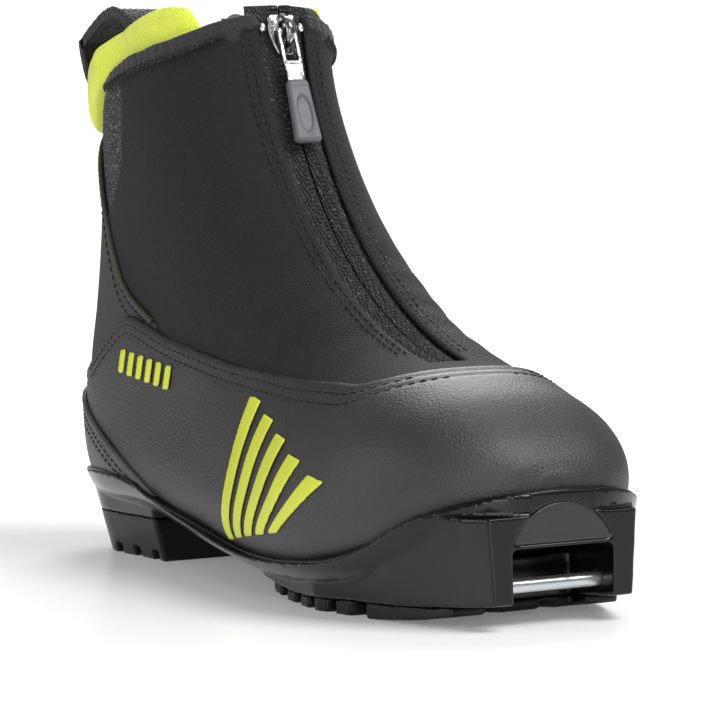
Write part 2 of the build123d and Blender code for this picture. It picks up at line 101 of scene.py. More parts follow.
# %% The foot shape
SECTIONS = np.array([
    [*on_arc(184.0), 15, 186, 34.5, 32.0, 0.50, 2.1, 2.2],
    [*on_arc(190.3), 12, 164, 34.0, 31.5, 0.50, 2.1, 2.2],
    [*on_arc(201.0), 8, 138, 33.0, 31.5, 0.50, 2.15, 2.2],
    [*on_arc(214.0), 4, 108, 33.0, 33.0, 0.50, 2.4, 2.2],
    [*on_arc(226.0), -2, 80, 33.5, 35.5, 0.48, 2.7, 2.3],
    [*on_arc(236.0), -7, 52, 35.0, 37.5, 0.46, 3.0, 2.4],
    [*on_arc(244.0), 3, 22, 35.5, 38.5, 0.44, 3.1, 2.6],
    [*on_arc(249.0), 45, 17, 36.5, 39.5, 0.42, 3.1, 2.8],
    [*on_arc(253.5), 90, 13.5, 39.0, 41.0, 0.40, 2.9, 3.0],
    [*on_arc(258.0), 130, 10, 42.5, 42.0, 0.38, 2.7, 3.2],
    [213, 65.6, 165, 8, 45.5, 42.5, 0.36, 2.5, 3.2],
    [223.5, 62.6, 195, 9, 45.0, 41.0, 0.34, 2.4, 3.2],
    [234.5, 58, 219, 13, 39.0, 37.5, 0.38, 2.4, 3.0],
    [245, 51, 238, 20, 28.0, 29.5, 0.42, 2.4, 2.6],
    [250.5, 45, 249, 28, 16.0, 19.0, 0.46, 2.3, 2.4],
    [253, 40, 253, 34, 5.0, 8.0, 0.50, 2.2, 2.2],
])
ROWS = len(SECTIONS)


def section_at(u):
    """Sections between the written ones, by a smooth curve through them."""
    u = np.clip(u, 0, ROWS - 1)
    i = np.minimum(u.astype(int), ROWS - 2)
    f = (u - i)[:, None]
    b, c = SECTIONS[i], SECTIONS[i + 1]
    a = np.where((i > 0)[:, None], SECTIONS[np.maximum(i - 1, 0)], 2 * b - c)
    d = np.where((i < ROWS - 2)[:, None], SECTIONS[np.minimum(i + 2, ROWS - 1)], 2 * c - b)
    return 0.5 * (2 * b + (c - a) * f + (2 * a - 5 * b + 4 * c - d) * f ** 2
                  + (3 * b - a - 3 * c + d) * f ** 3)


def foot_surface(us, turns):
    """Grid of points (rows, turns, 3) on the skin; turn 0 is the instep and a quarter turn is lateral."""
    s = section_at(np.asarray(us, float))
    top, low = s[:, 0:2], s[:, 2:4]
    full = np.linalg.norm(top - low, axis=1)
    way = (top - low) / full[:, None]
    middle = low + way * (full * s[:, 6])[:, None]
    along, across = np.cos(turns)[None, :], np.sin(turns)[None, :]
    square = np.where(along > 0, s[:, 7:8], s[:, 8:9])
    size = (np.abs(along) ** square + np.abs(across) ** square) ** (-1 / square)
    reach = np.where(along > 0, (full * (1 - s[:, 6]))[:, None], (full * s[:, 6])[:, None])
    up = size * along * reach
    half = np.where(across > 0, s[:, 4:5], s[:, 5:6])
    out = np.empty(up.shape + (3,))
    out[..., 0] = middle[:, 0:1] + way[:, 0:1] * up
    out[..., 1] = -size * across * half
    out[..., 2] = middle[:, 1:2] + way[:, 1:2] * up
    return out


GRID_U = np.linspace(0, ROWS - 1, 301)
GRID_T = np.linspace(0, 2 * math.pi, 289)[:-1]
skin = foot_surface(GRID_U, GRID_T)
nose_ring = skin[-1]
nose_centre = nose_ring.mean(axis=0)
for share in (0.9, 0.75, 0.55, 0.35, 0.15, 0.02):
    ring = nose_centre + (nose_ring - nose_centre) * share
    ring[:, 0] += 0.5 * (1 - share ** 2)
    skin = np.concatenate([skin, ring[None]])
    GRID_U = np.append(GRID_U, ROWS - share)
run_u = np.gradient(skin, axis=0)
run_t = np.roll(skin, -1, axis=1) - np.roll(skin, 1, axis=1)
skin_n = np.cross(run_t, run_u)
skin_n /= np.linalg.norm(skin_n, axis=2, keepdims=True) + 1e-9
row, col = np.meshgrid(np.arange(len(GRID_U) - 1), np.arange(len(GRID_T)), indexing="ij")
nxt = (col + 1) % len(GRID_T)
wide = len(GRID_T)
QUADS = np.stack([row * wide + col, row * wide + nxt, (row + 1) * wide + nxt, (row + 1) * wide + col],
                 axis=-1).reshape(-1, 4)
POINTS = skin.reshape(-1, 3)
NORMALS = skin_n.reshape(-1, 3)
if (NORMALS[:, 1] * POINTS[:, 1]).sum() < 0:
    NORMALS = -NORMALS
    QUADS = QUADS[:, ::-1]
SKIN_TREE = BVHTree.FromPolygons([Vector(p) for p in POINTS], QUADS.tolist())
print("skin", POINTS.shape, "quads", len(QUADS))

# %% [markdown]
# Seams are drawn the way a pattern cutter draws them: as curves in the side view. A panel is the
# part of the skin that lies on the right side of each curve. Cutting the mesh by a number that
# changes sign at the seam gives a clean edge without booleans, and the same number, which is the
# distance to the seam, lets the edge be rolled down so that it reads as a turned cloth edge.

# %% Seam curves
def smooth(points, count=160):
    """Catmull-Rom curve through side-view points."""
    p = np.array(points, float)
    p = np.vstack([2 * p[0] - p[1], p, 2 * p[-1] - p[-2]])
    out = []
    for k in range(1, len(p) - 2):
        f = np.linspace(0, 1, max(count // (len(p) - 3), 8), endpoint=False)[:, None]
        a, b, c, d = p[k - 1], p[k], p[k + 1], p[k + 2]
        out.append(0.5 * (2 * b + (c - a) * f + (2 * a - 5 * b + 4 * c - d) * f ** 2
                          + (3 * b - a - 3 * c + d) * f ** 3))
    return np.vstack(out + [p[-2:-1]])


SOLE_LINE = smooth([(-14, 27), (14, 27), (70, 25), (80, 22), (92, 19.5), (110, 17), (140, 13), (164, 12.5),
                    (190, 14), (222, 20.5), (232, 26), (248, 33), (264, 38.5)])
OVERLAY_TOP = smooth([(-14, 52), (5, 57), (18, 61), (30, 65.3), (44.5, 72.2), (56, 77.6), (64, 78.8),
                      (73, 77.2), (92, 72.9), (106, 70.5), (135, 66), (170, 63.3), (190, 62.8),
                      (204, 63.4), (222, 72), (245, 84), (275, 92)])
PIPING = smooth([(2, 150), (16, 137), (27.5, 125), (34.2, 115.4), (39.8, 108.7), (44, 102.5), (49, 96.1),
                 (54.4, 89.8), (61, 85.2), (69.5, 81.3), (82, 76.5)])
COVER_REAR = smooth([(60, 166), (57, 157), (55.8, 147), (54.6, 137.4), (53, 126.3), (49.2, 120.2),
                     (44, 115), (36, 108), (26, 98), (16, 84)])
HEM_STITCH = smooth([(10, 149), (46, 151), (58, 153.4), (75, 157), (87, 159.5), (96, 162.8), (102, 166.6),
                     (112, 170)])
HEM_TOP = smooth([(46, 153.3), (52, 155.8), (60, 158.6), (74, 161.8), (84, 164), (92, 166.6), (98, 169.2),
                  (104, 171.2), (116, 172)])
COLLAR_LOW = smooth([(-16, 136), (0, 137.5), (14, 139), (24, 140.8), (30, 144.5), (34, 148.8), (39, 152),
                     (46.5, 155), (53, 157.6), (60, 160)])
COLLAR_TOP = smooth([(-16, 171), (4, 172), (10, 171.5), (16, 167.5), (23, 163), (30.5, 161.5), (38.5, 162.6),
                     (46.5, 165.4), (54, 168), (61, 170.2), (68, 172.2), (76, 174), (84, 174.2), (92, 172),
                     (98, 167)])
COUNTER_TOP = smooth([(-14, 55), (0, 53.5), (20, 48), (42, 39.5), (64, 30.5), (88, 19)])


def height_over(curve, drop=0.0):
    """Test: how far above a seam that runs from heel to toe, in mm square to the seam."""
    slope = np.gradient(curve[:, 1], curve[:, 0])

    def test(p):
        z = np.interp(p[:, 0], curve[:, 0], curve[:, 1] - drop)
        lean = np.interp(p[:, 0], curve[:, 0], slope)
        return (p[:, 2] - z) / np.sqrt(1 + lean ** 2)
    return test


def ahead_of(curve, back=0.0):
    """Test: how far in front of a seam that runs up and down."""
    order = np.argsort(curve[:, 1])
    zs, xs = curve[order, 1], curve[order, 0] - back

    def test(p):
        x = np.interp(p[:, 2], zs, xs)
        lean = np.interp(p[:, 2], zs, np.gradient(xs, zs + np.arange(len(zs)) * 1e-9))
        return (p[:, 0] - x) / np.sqrt(1 + np.clip(lean, -3, 3) ** 2)
    return test


def flip(test):
    return lambda p: -test(p)


def lateral(p):
    return -p[:, 1]


def medial(p):
    return p[:, 1]


SLOT_END = 256.8


def slot_half(p):
    """Half width of the slot in the cover: wider at the cuff than at the instep."""
    return np.interp(arc_angle(p), [184, 200, 240, 256], [8.3, 7.6, 6.6, 6.0])


def off_slot(p):
    """Test: how far outside the zip's slot, measured across the front of the boot."""
    side = np.abs(p[:, 1]) - slot_half(p)
    past_end = np.radians(arc_angle(p) - SLOT_END) * ARC_R
    return np.maximum(np.maximum(side, past_end), 70 - p[:, 0])


print("sole line runs x", SOLE_LINE[0, 0], "to", SOLE_LINE[-1, 0])

# %% Cutting a panel out of the skin
FIRST_TEST = 6


def clip(polygon, column):
    """The part of a polygon where one column of its points is positive, with that seam cut in."""
    kept = []
    for a, b in zip(polygon, polygon[1:] + polygon[:1]):
        here, there = a[column], b[column]
        if here > 0:
            kept.append(a)
        if (here > 0) != (there > 0):
            cut = a + (b - a) * (here / (here - there))
            cut[column] = 0.0
            kept.append(cut)
    return kept


def welded(packed, faces):
    """The faces with points in the same place joined, and the points they use."""
    found, order, out = {}, [], []
    for face in faces:
        ring = []
        for v in face:
            key = tuple(np.round(packed[v][:3], 3).tolist())
            if key not in found:
                found[key] = len(order)
                order.append(v)
            ring.append(found[key])
        ring = [v for n, v in enumerate(ring) if v != ring[n - 1]]
        if len(ring) >= 3:
            out.append(ring)
    return packed[order], out


def cut_panel(tests, points=None, normals=None, quads=None):
    """Points, normals, faces and seam distances (n, k) of the skin where every test is positive."""
    points = POINTS if points is None else points
    normals = NORMALS if normals is None else normals
    quads = QUADS if quads is None else quads
    values = np.stack([t(points) for t in tests], axis=1)
    packed = np.hstack([points, normals, values])
    sign = values[quads] > 0
    whole = sign.all(axis=(1, 2))
    gone = (~sign).all(axis=1).any(axis=1)
    faces = [list(q) for q in quads[whole]]
    rows = []
    for quad in quads[~whole & ~gone]:
        polygon = [packed[v] for v in quad]
        for j in range(len(tests)):
            polygon = clip(polygon, FIRST_TEST + j)
        if len(polygon) >= 3:
            start = len(packed) + len(rows)
            faces.append(list(range(start, start + len(polygon))))
            rows += polygon
    if rows:
        packed = np.vstack([packed, np.array(rows)])
    packed, faces = welded(packed, faces)
    return packed[:, 0:3], packed[:, 3:6], faces, packed[:, 6:]


# %% Making a piece
def grid_faces(rows, columns, start=0, closed=False, flipped=False):
    """Faces of a grid of points stored row by row; closed joins the last column to the first."""
    faces = []
    for r in range(rows - 1):
        for c in range(columns if closed else columns - 1):
            a, b = start + r * columns + c, start + r * columns + (c + 1) % columns
            face = [a, b, b + columns, a + columns]
            faces.append(face[::-1] if flipped else face)
    return faces


def ring_faces(rings, sides, start=0):
    """Faces of a closed rod: rings of points with a lid on each end."""
    last = start + (rings - 1) * sides
    return grid_faces(rings, sides, start, closed=True) + [list(range(start, start + sides))[::-1],
                                                           list(range(last, last + sides))]


def slab_faces(rows, columns):
    """Faces of a closed slab: one grid of points for its outside, then one for its inside."""
    half = rows * columns
    faces = grid_faces(rows, columns) + grid_faces(rows, columns, half, flipped=True)
    edges = [(r * columns + c, columns) for r in range(rows - 1) for c in (0, columns - 1)]
    edges += [(r * columns + c, 1) for r in (0, rows - 1) for c in range(columns - 1)]
    return faces + [[a, a + step, half + a + step, half + a] for a, step in edges]


def new_piece(name, points_mm, faces, material, slot, body="boot", smooth_shade=True):
    """A mesh piece from layout millimetres, riding on its body."""
    mesh = bpy.data.meshes.new(name)
    mesh.from_pydata(place(points_mm).tolist(), [], faces)
    mesh.validate()
    mesh.materials.append(material)
    if smooth_shade:
        mesh.polygons.foreach_set("use_smooth", [True] * len(mesh.polygons))
    piece = bpy.data.objects.new(name, mesh)
    bpy.context.scene.collection.objects.link(piece)
    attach(piece, body)
    return piece


def solid_piece(name, shape, material, slot, replaced=(), body="boot"):
    """A closed piece from (points, faces) with its faces turned outwards, in place of some CAD nodes."""
    piece = new_piece(name, *shape, material, slot, body)
    work = bmesh.new()
    work.from_mesh(piece.data)
    bmesh.ops.recalc_face_normals(work, faces=work.faces)
    work.to_mesh(piece.data)
    work.free()
    if replaced:
        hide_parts(*replaced)
    print(f"{name}: {len(piece.data.vertices)} points")
    return piece


def merge(*parts):
    """Several (points, faces) shapes as one."""
    verts, faces = [], []
    for v, f in parts:
        faces += [[i + len(verts) for i in face] for face in f]
        verts += list(v)
    return np.array(verts), faces


def wander(points, scale, seed):
    """Slow random swell over the surface, about -1 to 1, the same in every run."""
    offset = Vector((seed * 17.3, seed * 5.1, seed * 9.7))
    return np.array([noise.noise(Vector(p) / scale + offset) for p in points])


def panel(name, tests, base, rise, roll, material, slot, open_edges=(), swell=0.0, relief=None, replaces=()):
    """A cloth panel: cut from the skin, lifted by base, thick by rise, its sewn edges rolled down."""
    points, normals, faces, seams = cut_panel(tests)
    sewn = [j for j in range(len(tests)) if j not in open_edges]
    edge = seams[:, sewn].min(axis=1) if sewn else np.full(len(points), 99.0)
    share = np.clip(edge / roll, 0, 1)
    depth = base + rise * np.sqrt(np.clip(1 - (1 - share) ** 2, 0, 1))
    if swell:
        depth += swell * wander(points, 24.0, len(name)) * share
    if relief is not None:
        depth += relief(points, edge)
    piece = new_piece(name, points + normals * depth[:, None], faces, material, slot)
    if replaces:
        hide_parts(*replaces)
    print(f"{name}: {len(points)} points, {len(faces)} faces")
    return piece


# %% [markdown]
# Materials. Cloth, coated synthetic, rubber and moulded plastic share a few effects: a fine grain,
# a twill weave, a soft wear or dust mask. Each effect is a node group with named inputs, built once,
# and each material keeps its own Principled shader and feeds it from the groups. Patterns are driven
# by object coordinates in metres, so they keep their real size and don't slide when the view turns.

# %% Node helpers
def group(name, inputs, outputs):
    tree = bpy.data.node_groups.new(name, "ShaderNodeTree")
    for label, value in inputs.items():
        kind = "NodeSocketColor" if isinstance(value, tuple) else "NodeSocketFloat"
        socket = tree.interface.new_socket(name=label, in_out="INPUT", socket_type=kind)
        socket.default_value = value
    for label, kind in outputs.items():
        tree.interface.new_socket(name=label, in_out="OUTPUT", socket_type=kind)
    return tree, tree.nodes.new("NodeGroupInput"), tree.nodes.new("NodeGroupOutput")


def add(tree, kind, **values):
    node = tree.nodes.new(kind)
    for key, value in values.items():
        if key in node.inputs:
            node.inputs[key].default_value = value
        else:
            setattr(node, key, value)
    return node


def math_node(tree, operation, a, b=None, c=None, clamp=False):
    node = tree.nodes.new("ShaderNodeMath")
    node.operation = operation
    node.use_clamp = clamp
    for slot, value in ((0, a), (1, b), (2, c)):
        if value is None:
            continue
        if isinstance(value, (int, float)):
            node.inputs[slot].default_value = value
        else:
            tree.links.new(value, node.inputs[slot])
    return node.outputs[0]


def object_point(tree):
    return tree.nodes.new("ShaderNodeTexCoord").outputs["Object"]


# %% Fine grain group
def make_grain():
    """Small lumps of coated cloth, rubber or leather: a height, and a mask of its pits."""
    tree, start, end = group("fine_grain", {"Pitch": 900.0, "Softness": 0.5},
                             {"Height": "NodeSocketFloat", "Pits": "NodeSocketFloat"})
    where = object_point(tree)
    lumps = add(tree, "ShaderNodeTexVoronoi", feature="F1")
    fine = add(tree, "ShaderNodeTexNoise", Detail=4.0, Roughness=0.6)
    tree.links.new(where, lumps.inputs["Vector"])
    tree.links.new(where, fine.inputs["Vector"])
    tree.links.new(start.outputs["Pitch"], lumps.inputs["Scale"])
    tree.links.new(math_node(tree, "MULTIPLY", start.outputs["Pitch"], 1.7), fine.inputs["Scale"])
    lump = math_node(tree, "MULTIPLY", lumps.outputs["Distance"], start.outputs["Softness"])
    height = math_node(tree, "ADD", lump, math_node(tree, "MULTIPLY", fine.outputs["Fac"], 0.6))
    tree.links.new(height, end.inputs["Height"])
    tree.links.new(math_node(tree, "SUBTRACT", 0.62, fine.outputs["Fac"], clamp=True), end.inputs["Pits"])
    return tree


# %% Twill weave group
def make_twill():
    """Two families of threads crossing on the bias; a slow noise bends them so that they never line up."""
    tree, start, end = group("twill_weave", {"Pitch": 1100.0, "Uneven": 0.3},
                             {"Height": "NodeSocketFloat", "Thread": "NodeSocketFloat"})
    drift = add(tree, "ShaderNodeTexNoise", Scale=190.0, Detail=2.0)
    tree.links.new(object_point(tree), drift.inputs["Vector"])
    small = add(tree, "ShaderNodeVectorMath", operation="SCALE")
    small.inputs["Scale"].default_value = 0.0022
    tree.links.new(drift.outputs["Color"], small.inputs[0])
    pulled = add(tree, "ShaderNodeVectorMath", operation="ADD")
    tree.links.new(object_point(tree), pulled.inputs[0])
    tree.links.new(small.outputs[0], pulled.inputs[1])
    split = tree.nodes.new("ShaderNodeSeparateXYZ")
    tree.links.new(pulled.outputs[0], split.inputs[0])
    x, y, z = split.outputs
    warp = math_node(tree, "ADD", math_node(tree, "ADD", x, math_node(tree, "MULTIPLY", y, 0.8)), z)
    weft = math_node(tree, "SUBTRACT", math_node(tree, "SUBTRACT", x, math_node(tree, "MULTIPLY", y, 0.8)), z)
    turn = math_node(tree, "MULTIPLY", start.outputs["Pitch"], 2 * math.pi)
    one = math_node(tree, "SINE", math_node(tree, "MULTIPLY", warp, turn))
    two = math_node(tree, "SINE", math_node(tree, "MULTIPLY", weft, math_node(tree, "MULTIPLY", turn, 0.5)))
    waves = math_node(tree, "ADD", one, math_node(tree, "MULTIPLY", two, 0.6))
    flaw = add(tree, "ShaderNodeTexNoise", Scale=420.0, Detail=3.0)
    tree.links.new(object_point(tree), flaw.inputs["Vector"])
    uneven = math_node(tree, "MULTIPLY", flaw.outputs["Fac"], start.outputs["Uneven"])
    height = math_node(tree, "ADD", math_node(tree, "MULTIPLY", waves, 0.3), uneven)
    tree.links.new(height, end.inputs["Height"])
    tree.links.new(math_node(tree, "MULTIPLY_ADD", waves, 0.3, 0.5), end.inputs["Thread"])
    return tree


# %% Scuff and dust group
def make_scuff():
    """Large soft blotches with a broken edge, for wear, dust and uneven dye."""
    tree, start, end = group("soft_scuff", {"Size": 30.0, "Amount": 0.5}, {"Mask": "NodeSocketFloat"})
    blotch = add(tree, "ShaderNodeTexNoise", Detail=6.0, Roughness=0.62)
    tree.links.new(object_point(tree), blotch.inputs["Vector"])
    tree.links.new(start.outputs["Size"], blotch.inputs["Scale"])
    ramp = tree.nodes.new("ShaderNodeMapRange")
    ramp.inputs["From Min"].default_value = 0.38
    ramp.inputs["From Max"].default_value = 0.68
    tree.links.new(blotch.outputs["Fac"], ramp.inputs["Value"])
    tree.links.new(math_node(tree, "MULTIPLY", ramp.outputs[0], start.outputs["Amount"], clamp=True),
                   end.inputs["Mask"])
    return tree


GRAIN = make_grain()
TWILL = make_twill()
SCUFF = make_scuff()
print("groups", [g.name for g in (GRAIN, TWILL, SCUFF)])


# %% One recipe for a finish, filled in by each material
def srgb(r, g, b):
    linear = [((v / 255 + 0.055) / 1.055) ** 2.4 if v > 10 else v / 255 / 12.92 for v in (r, g, b)]
    return (*linear, 1.0)


def finish(name, dark, light, rough=(0.6, 0.8), weave=None, weave_bump=0.0, grain=None, grain_bump=0.0,
           scuff=(28.0, 0.5), metallic=0.0, coat=0.0, sheen=0.0, specular=0.5, speck=None,
           distance=0.0004):
    """Principled material: colour runs from dark to light by weave, grain and blotches."""
    mat = bpy.data.materials.new(name)
    mat.use_nodes = True
    tree = mat.node_tree
    shader = tree.nodes["Principled BSDF"]
    blotch = add(tree, "ShaderNodeGroup", node_tree=SCUFF)
    blotch.inputs["Size"].default_value = scuff[0]
    blotch.inputs["Amount"].default_value = scuff[1]
    tone = blotch.outputs["Mask"]
    heights = []
    if weave:
        cloth = add(tree, "ShaderNodeGroup", node_tree=TWILL)
        cloth.inputs["Pitch"].default_value = weave
        tone = math_node(tree, "ADD", math_node(tree, "MULTIPLY", tone, 0.5),
                         math_node(tree, "MULTIPLY", cloth.outputs["Height"], 0.8), clamp=True)
        heights.append((cloth.outputs["Height"], weave_bump))
    if grain:
        skin_grain = add(tree, "ShaderNodeGroup", node_tree=GRAIN)
        skin_grain.inputs["Pitch"].default_value = grain
        tone = math_node(tree, "ADD", math_node(tree, "MULTIPLY", tone, 0.6),
                         math_node(tree, "MULTIPLY", skin_grain.outputs["Pits"], 0.7), clamp=True)
        heights.append((skin_grain.outputs["Height"], grain_bump))
    mix = add(tree, "ShaderNodeMix", data_type="RGBA")
    mix.inputs[6].default_value = dark
    mix.inputs[7].default_value = light
    tree.links.new(tone, mix.inputs[0])
    colour = mix.outputs[2]
    if speck:
        flecks = add(tree, "ShaderNodeTexNoise", Scale=speck[0], Detail=2.0, Roughness=0.8)
        tree.links.new(object_point(tree), flecks.inputs["Vector"])
        lit = math_node(tree, "MULTIPLY", math_node(tree, "SUBTRACT", flecks.outputs["Fac"], speck[1]), 12.0,
                        clamp=True)
        fleck_mix = add(tree, "ShaderNodeMix", data_type="RGBA")
        fleck_mix.inputs[7].default_value = speck[2]
        tree.links.new(lit, fleck_mix.inputs[0])
        tree.links.new(colour, fleck_mix.inputs[6])
        colour = fleck_mix.outputs[2]
    tree.links.new(colour, shader.inputs["Base Color"])
    span = add(tree, "ShaderNodeMapRange")
    span.inputs["To Min"].default_value = rough[0]
    span.inputs["To Max"].default_value = rough[1]
    tree.links.new(tone, span.inputs["Value"])
    tree.links.new(span.outputs[0], shader.inputs["Roughness"])
    shader.inputs["Metallic"].default_value = metallic
    shader.inputs["Specular IOR Level"].default_value = specular
    shader.inputs["Coat Weight"].default_value = coat
    shader.inputs["Coat Roughness"].default_value = 0.12
    shader.inputs["Sheen Weight"].default_value = sheen
    shader.inputs["Sheen Roughness"].default_value = 0.5
    total = None
    for height, strength in heights:
        part = math_node(tree, "MULTIPLY", height, strength)
        total = part if total is None else math_node(tree, "ADD", total, part)
    if total is not None:
        bump = add(tree, "ShaderNodeBump", Distance=distance)
        tree.links.new(total, bump.inputs["Height"])
        tree.links.new(bump.outputs["Normal"], shader.inputs["Normal"])
    return mat


# %% The boot's own finishes
COVER = finish("cover_softshell", srgb(12, 12, 13), srgb(29, 29, 31), rough=(0.72, 0.9), weave=900.0,
               weave_bump=0.4, sheen=0.03, specular=0.3, scuff=(22.0, 0.55))
HEM = finish("hem_softshell", srgb(14, 14, 15), srgb(36, 36, 38), rough=(0.7, 0.9), weave=900.0,
             weave_bump=0.8, sheen=0.15)
UPPER = finish("coated_upper", srgb(26, 26, 28), srgb(58, 58, 62), rough=(0.42, 0.58), grain=1300.0,
               grain_bump=0.5, scuff=(18.0, 0.4))
COUNTER = finish("grained_counter", srgb(44, 44, 48), srgb(98, 98, 104), rough=(0.38, 0.6), grain=1000.0,
                 grain_bump=1.2, scuff=(35.0, 0.5))
KNIT_MESH = finish("open_mesh", srgb(14, 14, 15), srgb(52, 52, 54), rough=(0.75, 0.95), weave=420.0,
                   weave_bump=2.0, speck=(1500.0, 0.57, srgb(150, 150, 150)))
ANKLE = finish("ankle_cloth", srgb(34, 34, 36), srgb(64, 64, 66), rough=(0.6, 0.8), weave=1400.0,
               weave_bump=0.5)
PIPE = finish("olive_piping", srgb(36, 33, 22), srgb(84, 78, 52), rough=(0.5, 0.7), grain=1800.0,
              grain_bump=0.5)
WEBBING = finish("woven_webbing", srgb(8, 8, 8), srgb(28, 28, 29), rough=(0.65, 0.85), weave=650.0,
                 weave_bump=1.6, sheen=0.1)
YELLOW = finish("yellow_knit", srgb(206, 218, 52), srgb(228, 238, 92), rough=(0.75, 0.9), weave=1300.0,
                weave_bump=0.5, sheen=0.3, scuff=(30.0, 0.5))
PRINT = finish("yellow_print", srgb(198, 206, 48), srgb(214, 222, 74), rough=(0.38, 0.5), grain=2200.0,
               grain_bump=0.15, scuff=(40.0, 0.5))
LINING = finish("brushed_lining", srgb(18, 18, 19), srgb(46, 46, 48), rough=(0.85, 0.98), weave=800.0,
                weave_bump=0.8, sheen=0.4)
TAPE = finish("zip_tape_cloth", srgb(5, 5, 6), srgb(26, 26, 28), rough=(0.6, 0.85), weave=700.0,
              weave_bump=1.2, speck=(1700.0, 0.635, srgb(150, 150, 152)))
THREAD = finish("sewing_thread", srgb(6, 6, 7), srgb(30, 30, 32), rough=(0.35, 0.55), weave=3000.0,
                weave_bump=0.5)
CHROME = finish("polished_zip_metal", srgb(40, 40, 43), srgb(214, 214, 218), rough=(0.24, 0.1), grain=2600.0,
                grain_bump=0.1, metallic=1.0, scuff=(420.0, 1.1))
STOP = finish("bright_stop_metal", srgb(215, 215, 218), srgb(240, 240, 242), rough=(0.25, 0.4), grain=2600.0,
              grain_bump=0.2, metallic=1.0)
GRIP = finish("grip_rubber", srgb(80, 80, 86), srgb(104, 104, 111), rough=(0.42, 0.58), grain=2400.0,
              grain_bump=0.25)
SOLE = finish("gloss_sole", srgb(4, 4, 5), srgb(12, 12, 14), rough=(0.14, 0.28), grain=2000.0,
              grain_bump=0.06, coat=0.08, specular=0.3, scuff=(26.0, 0.6))
TREAD = finish("tread_rubber", srgb(5, 5, 6), srgb(15, 15, 17), rough=(0.3, 0.5), grain=1500.0,
               grain_bump=0.3, specular=0.25)
INSERT = finish("satin_insert", srgb(30, 30, 34), srgb(46, 46, 51), rough=(0.34, 0.48), grain=2200.0,
                grain_bump=0.15)
STEEL = finish("drawn_steel", srgb(180, 184, 186), srgb(214, 220, 221), rough=(0.2, 0.36), grain=2400.0,
               grain_bump=0.15, metallic=0.9)
BOARD = finish("fibre_board", srgb(120, 96, 68), srgb(160, 130, 96), rough=(0.8, 0.95), grain=600.0,
               grain_bump=0.8)
STIFFENER = finish("stiffener_sheet", srgb(104, 104, 106), srgb(130, 130, 132), rough=(0.5, 0.65),
                   grain=900.0, grain_bump=0.4)
FELT = finish("footbed_felt", srgb(70, 70, 72), srgb(104, 104, 106), rough=(0.9, 1.0), grain=700.0,
              grain_bump=1.0, sheen=0.3)

NODE_FINISH = {"lasting_board": BOARD, "shank": STEEL, "heel_cup": STIFFENER, "toe_puff": STIFFENER,
               "zip_bottom_stop": STOP}
for name, mat in NODE_FINISH.items():
    nodes[name].data.materials.clear()
    nodes[name].data.materials.append(mat)
print("finishes", len(bpy.data.materials))

# %% [markdown]
# The cover is one piece of stretch cloth pulled over the instep, with a slot for the zip. Its rear
# edge runs straight down the side of the cuff, with open mesh behind it, and an olive piping sweeps
# from the back of the cuff down to the overlay. Behind the piping lies a paler, firmer heel cloth.
# Each is cut out of the skin with its own lift, so a panel sewn over another really stands above it.
# Heel cloth and mesh each stand for the CAD solid that fills the same place.

# %% The cloth panels
def thicken(piece, thickness):
    """Closes a panel into a thin solid by growing it inwards."""
    shell = piece.modifiers.new("cloth_thickness", "SOLIDIFY")
    shell.thickness = thickness * MM
    shell.offset = -1.0
    shell.use_rim = True
    shell.use_quality_normals = True
    return piece


def round_cuff(points):
    """Distance round the cuff in millimetres, zero at the back."""
    return np.arctan2(points[:, 1], 60 - points[:, 0]) * 38


def slot_creases(points, edge):
    """Shallow pull lines that run out from the zip, strongest where the boot bends."""
    angle = arc_angle(points)
    bend = np.exp(-((angle - 236) / 12.0) ** 2)
    return 0.16 * bend * np.sin(angle * 1.15 + 0.03 * points[:, 1]) * np.clip(edge / 6, 0, 1)


cover = panel("cover_cloth", [ahead_of(COVER_REAR), ahead_of(PIPING), height_over(OVERLAY_TOP, 1.6), off_slot,
                              flip(height_over(HEM_STITCH, -2.0))],
              base=-0.9, rise=1.0, roll=1.5, material=COVER, slot="cover_fabric", open_edges=(2, 4),
              swell=0.35, relief=slot_creases, replaces=("cover_lateral", "cover_medial"))
thicken(cover, 1.1)


def knit_columns(points, edge):
    """Chains of knit loops that run up the cuff."""
    around = round_cuff(points)
    step = np.sign(np.sin(around * 1.3))
    return 0.26 * np.sin(around * 2.6) * np.sin(points[:, 2] * 2.3 + 1.5 * step)


mesh_cloth = panel("rear_mesh_cloth", [flip(ahead_of(COVER_REAR, -1.2)), ahead_of(PIPING),
                                       flip(height_over(COLLAR_LOW, -2.0)),
                                       flip(height_over(HEM_STITCH, -2.0))],
                   base=-0.9, rise=0.3, roll=1.0, material=KNIT_MESH, slot="mesh",
                   open_edges=(0, 1, 2, 3), relief=knit_columns,
                   replaces=("ankle_panel_lateral", "ankle_panel_medial"))
thicken(mesh_cloth, 1.0)
heel_cloth = panel("heel_cloth", [flip(ahead_of(PIPING)), height_over(OVERLAY_TOP, 1.6),
                                  flip(height_over(COLLAR_LOW, -2.0))],
                   base=-0.5, rise=0.6, roll=1.0, material=ANKLE, slot="ankle_fabric",
                   open_edges=(0, 1, 2), swell=0.2, replaces=("rear_mesh_panel",))
thicken(heel_cloth, 1.2)

# %% [markdown]
# The overlay is a coated synthetic that wraps the whole lower boot, and the heel counter is a
# thicker moulded piece on top of it. Both have a skived edge, which is thinned before it is sewn, so
# their edges are rolled over two millimetres. A shallow valley follows the stitching, because thread
# always pulls a padded edge down.

# %% The overlay, the counter and the back strap
def stitch_valleys(offsets, depth):
    def relief(points, edge):
        return -depth * sum(np.exp(-((edge - at) / 0.7) ** 2) for at in offsets)
    return relief


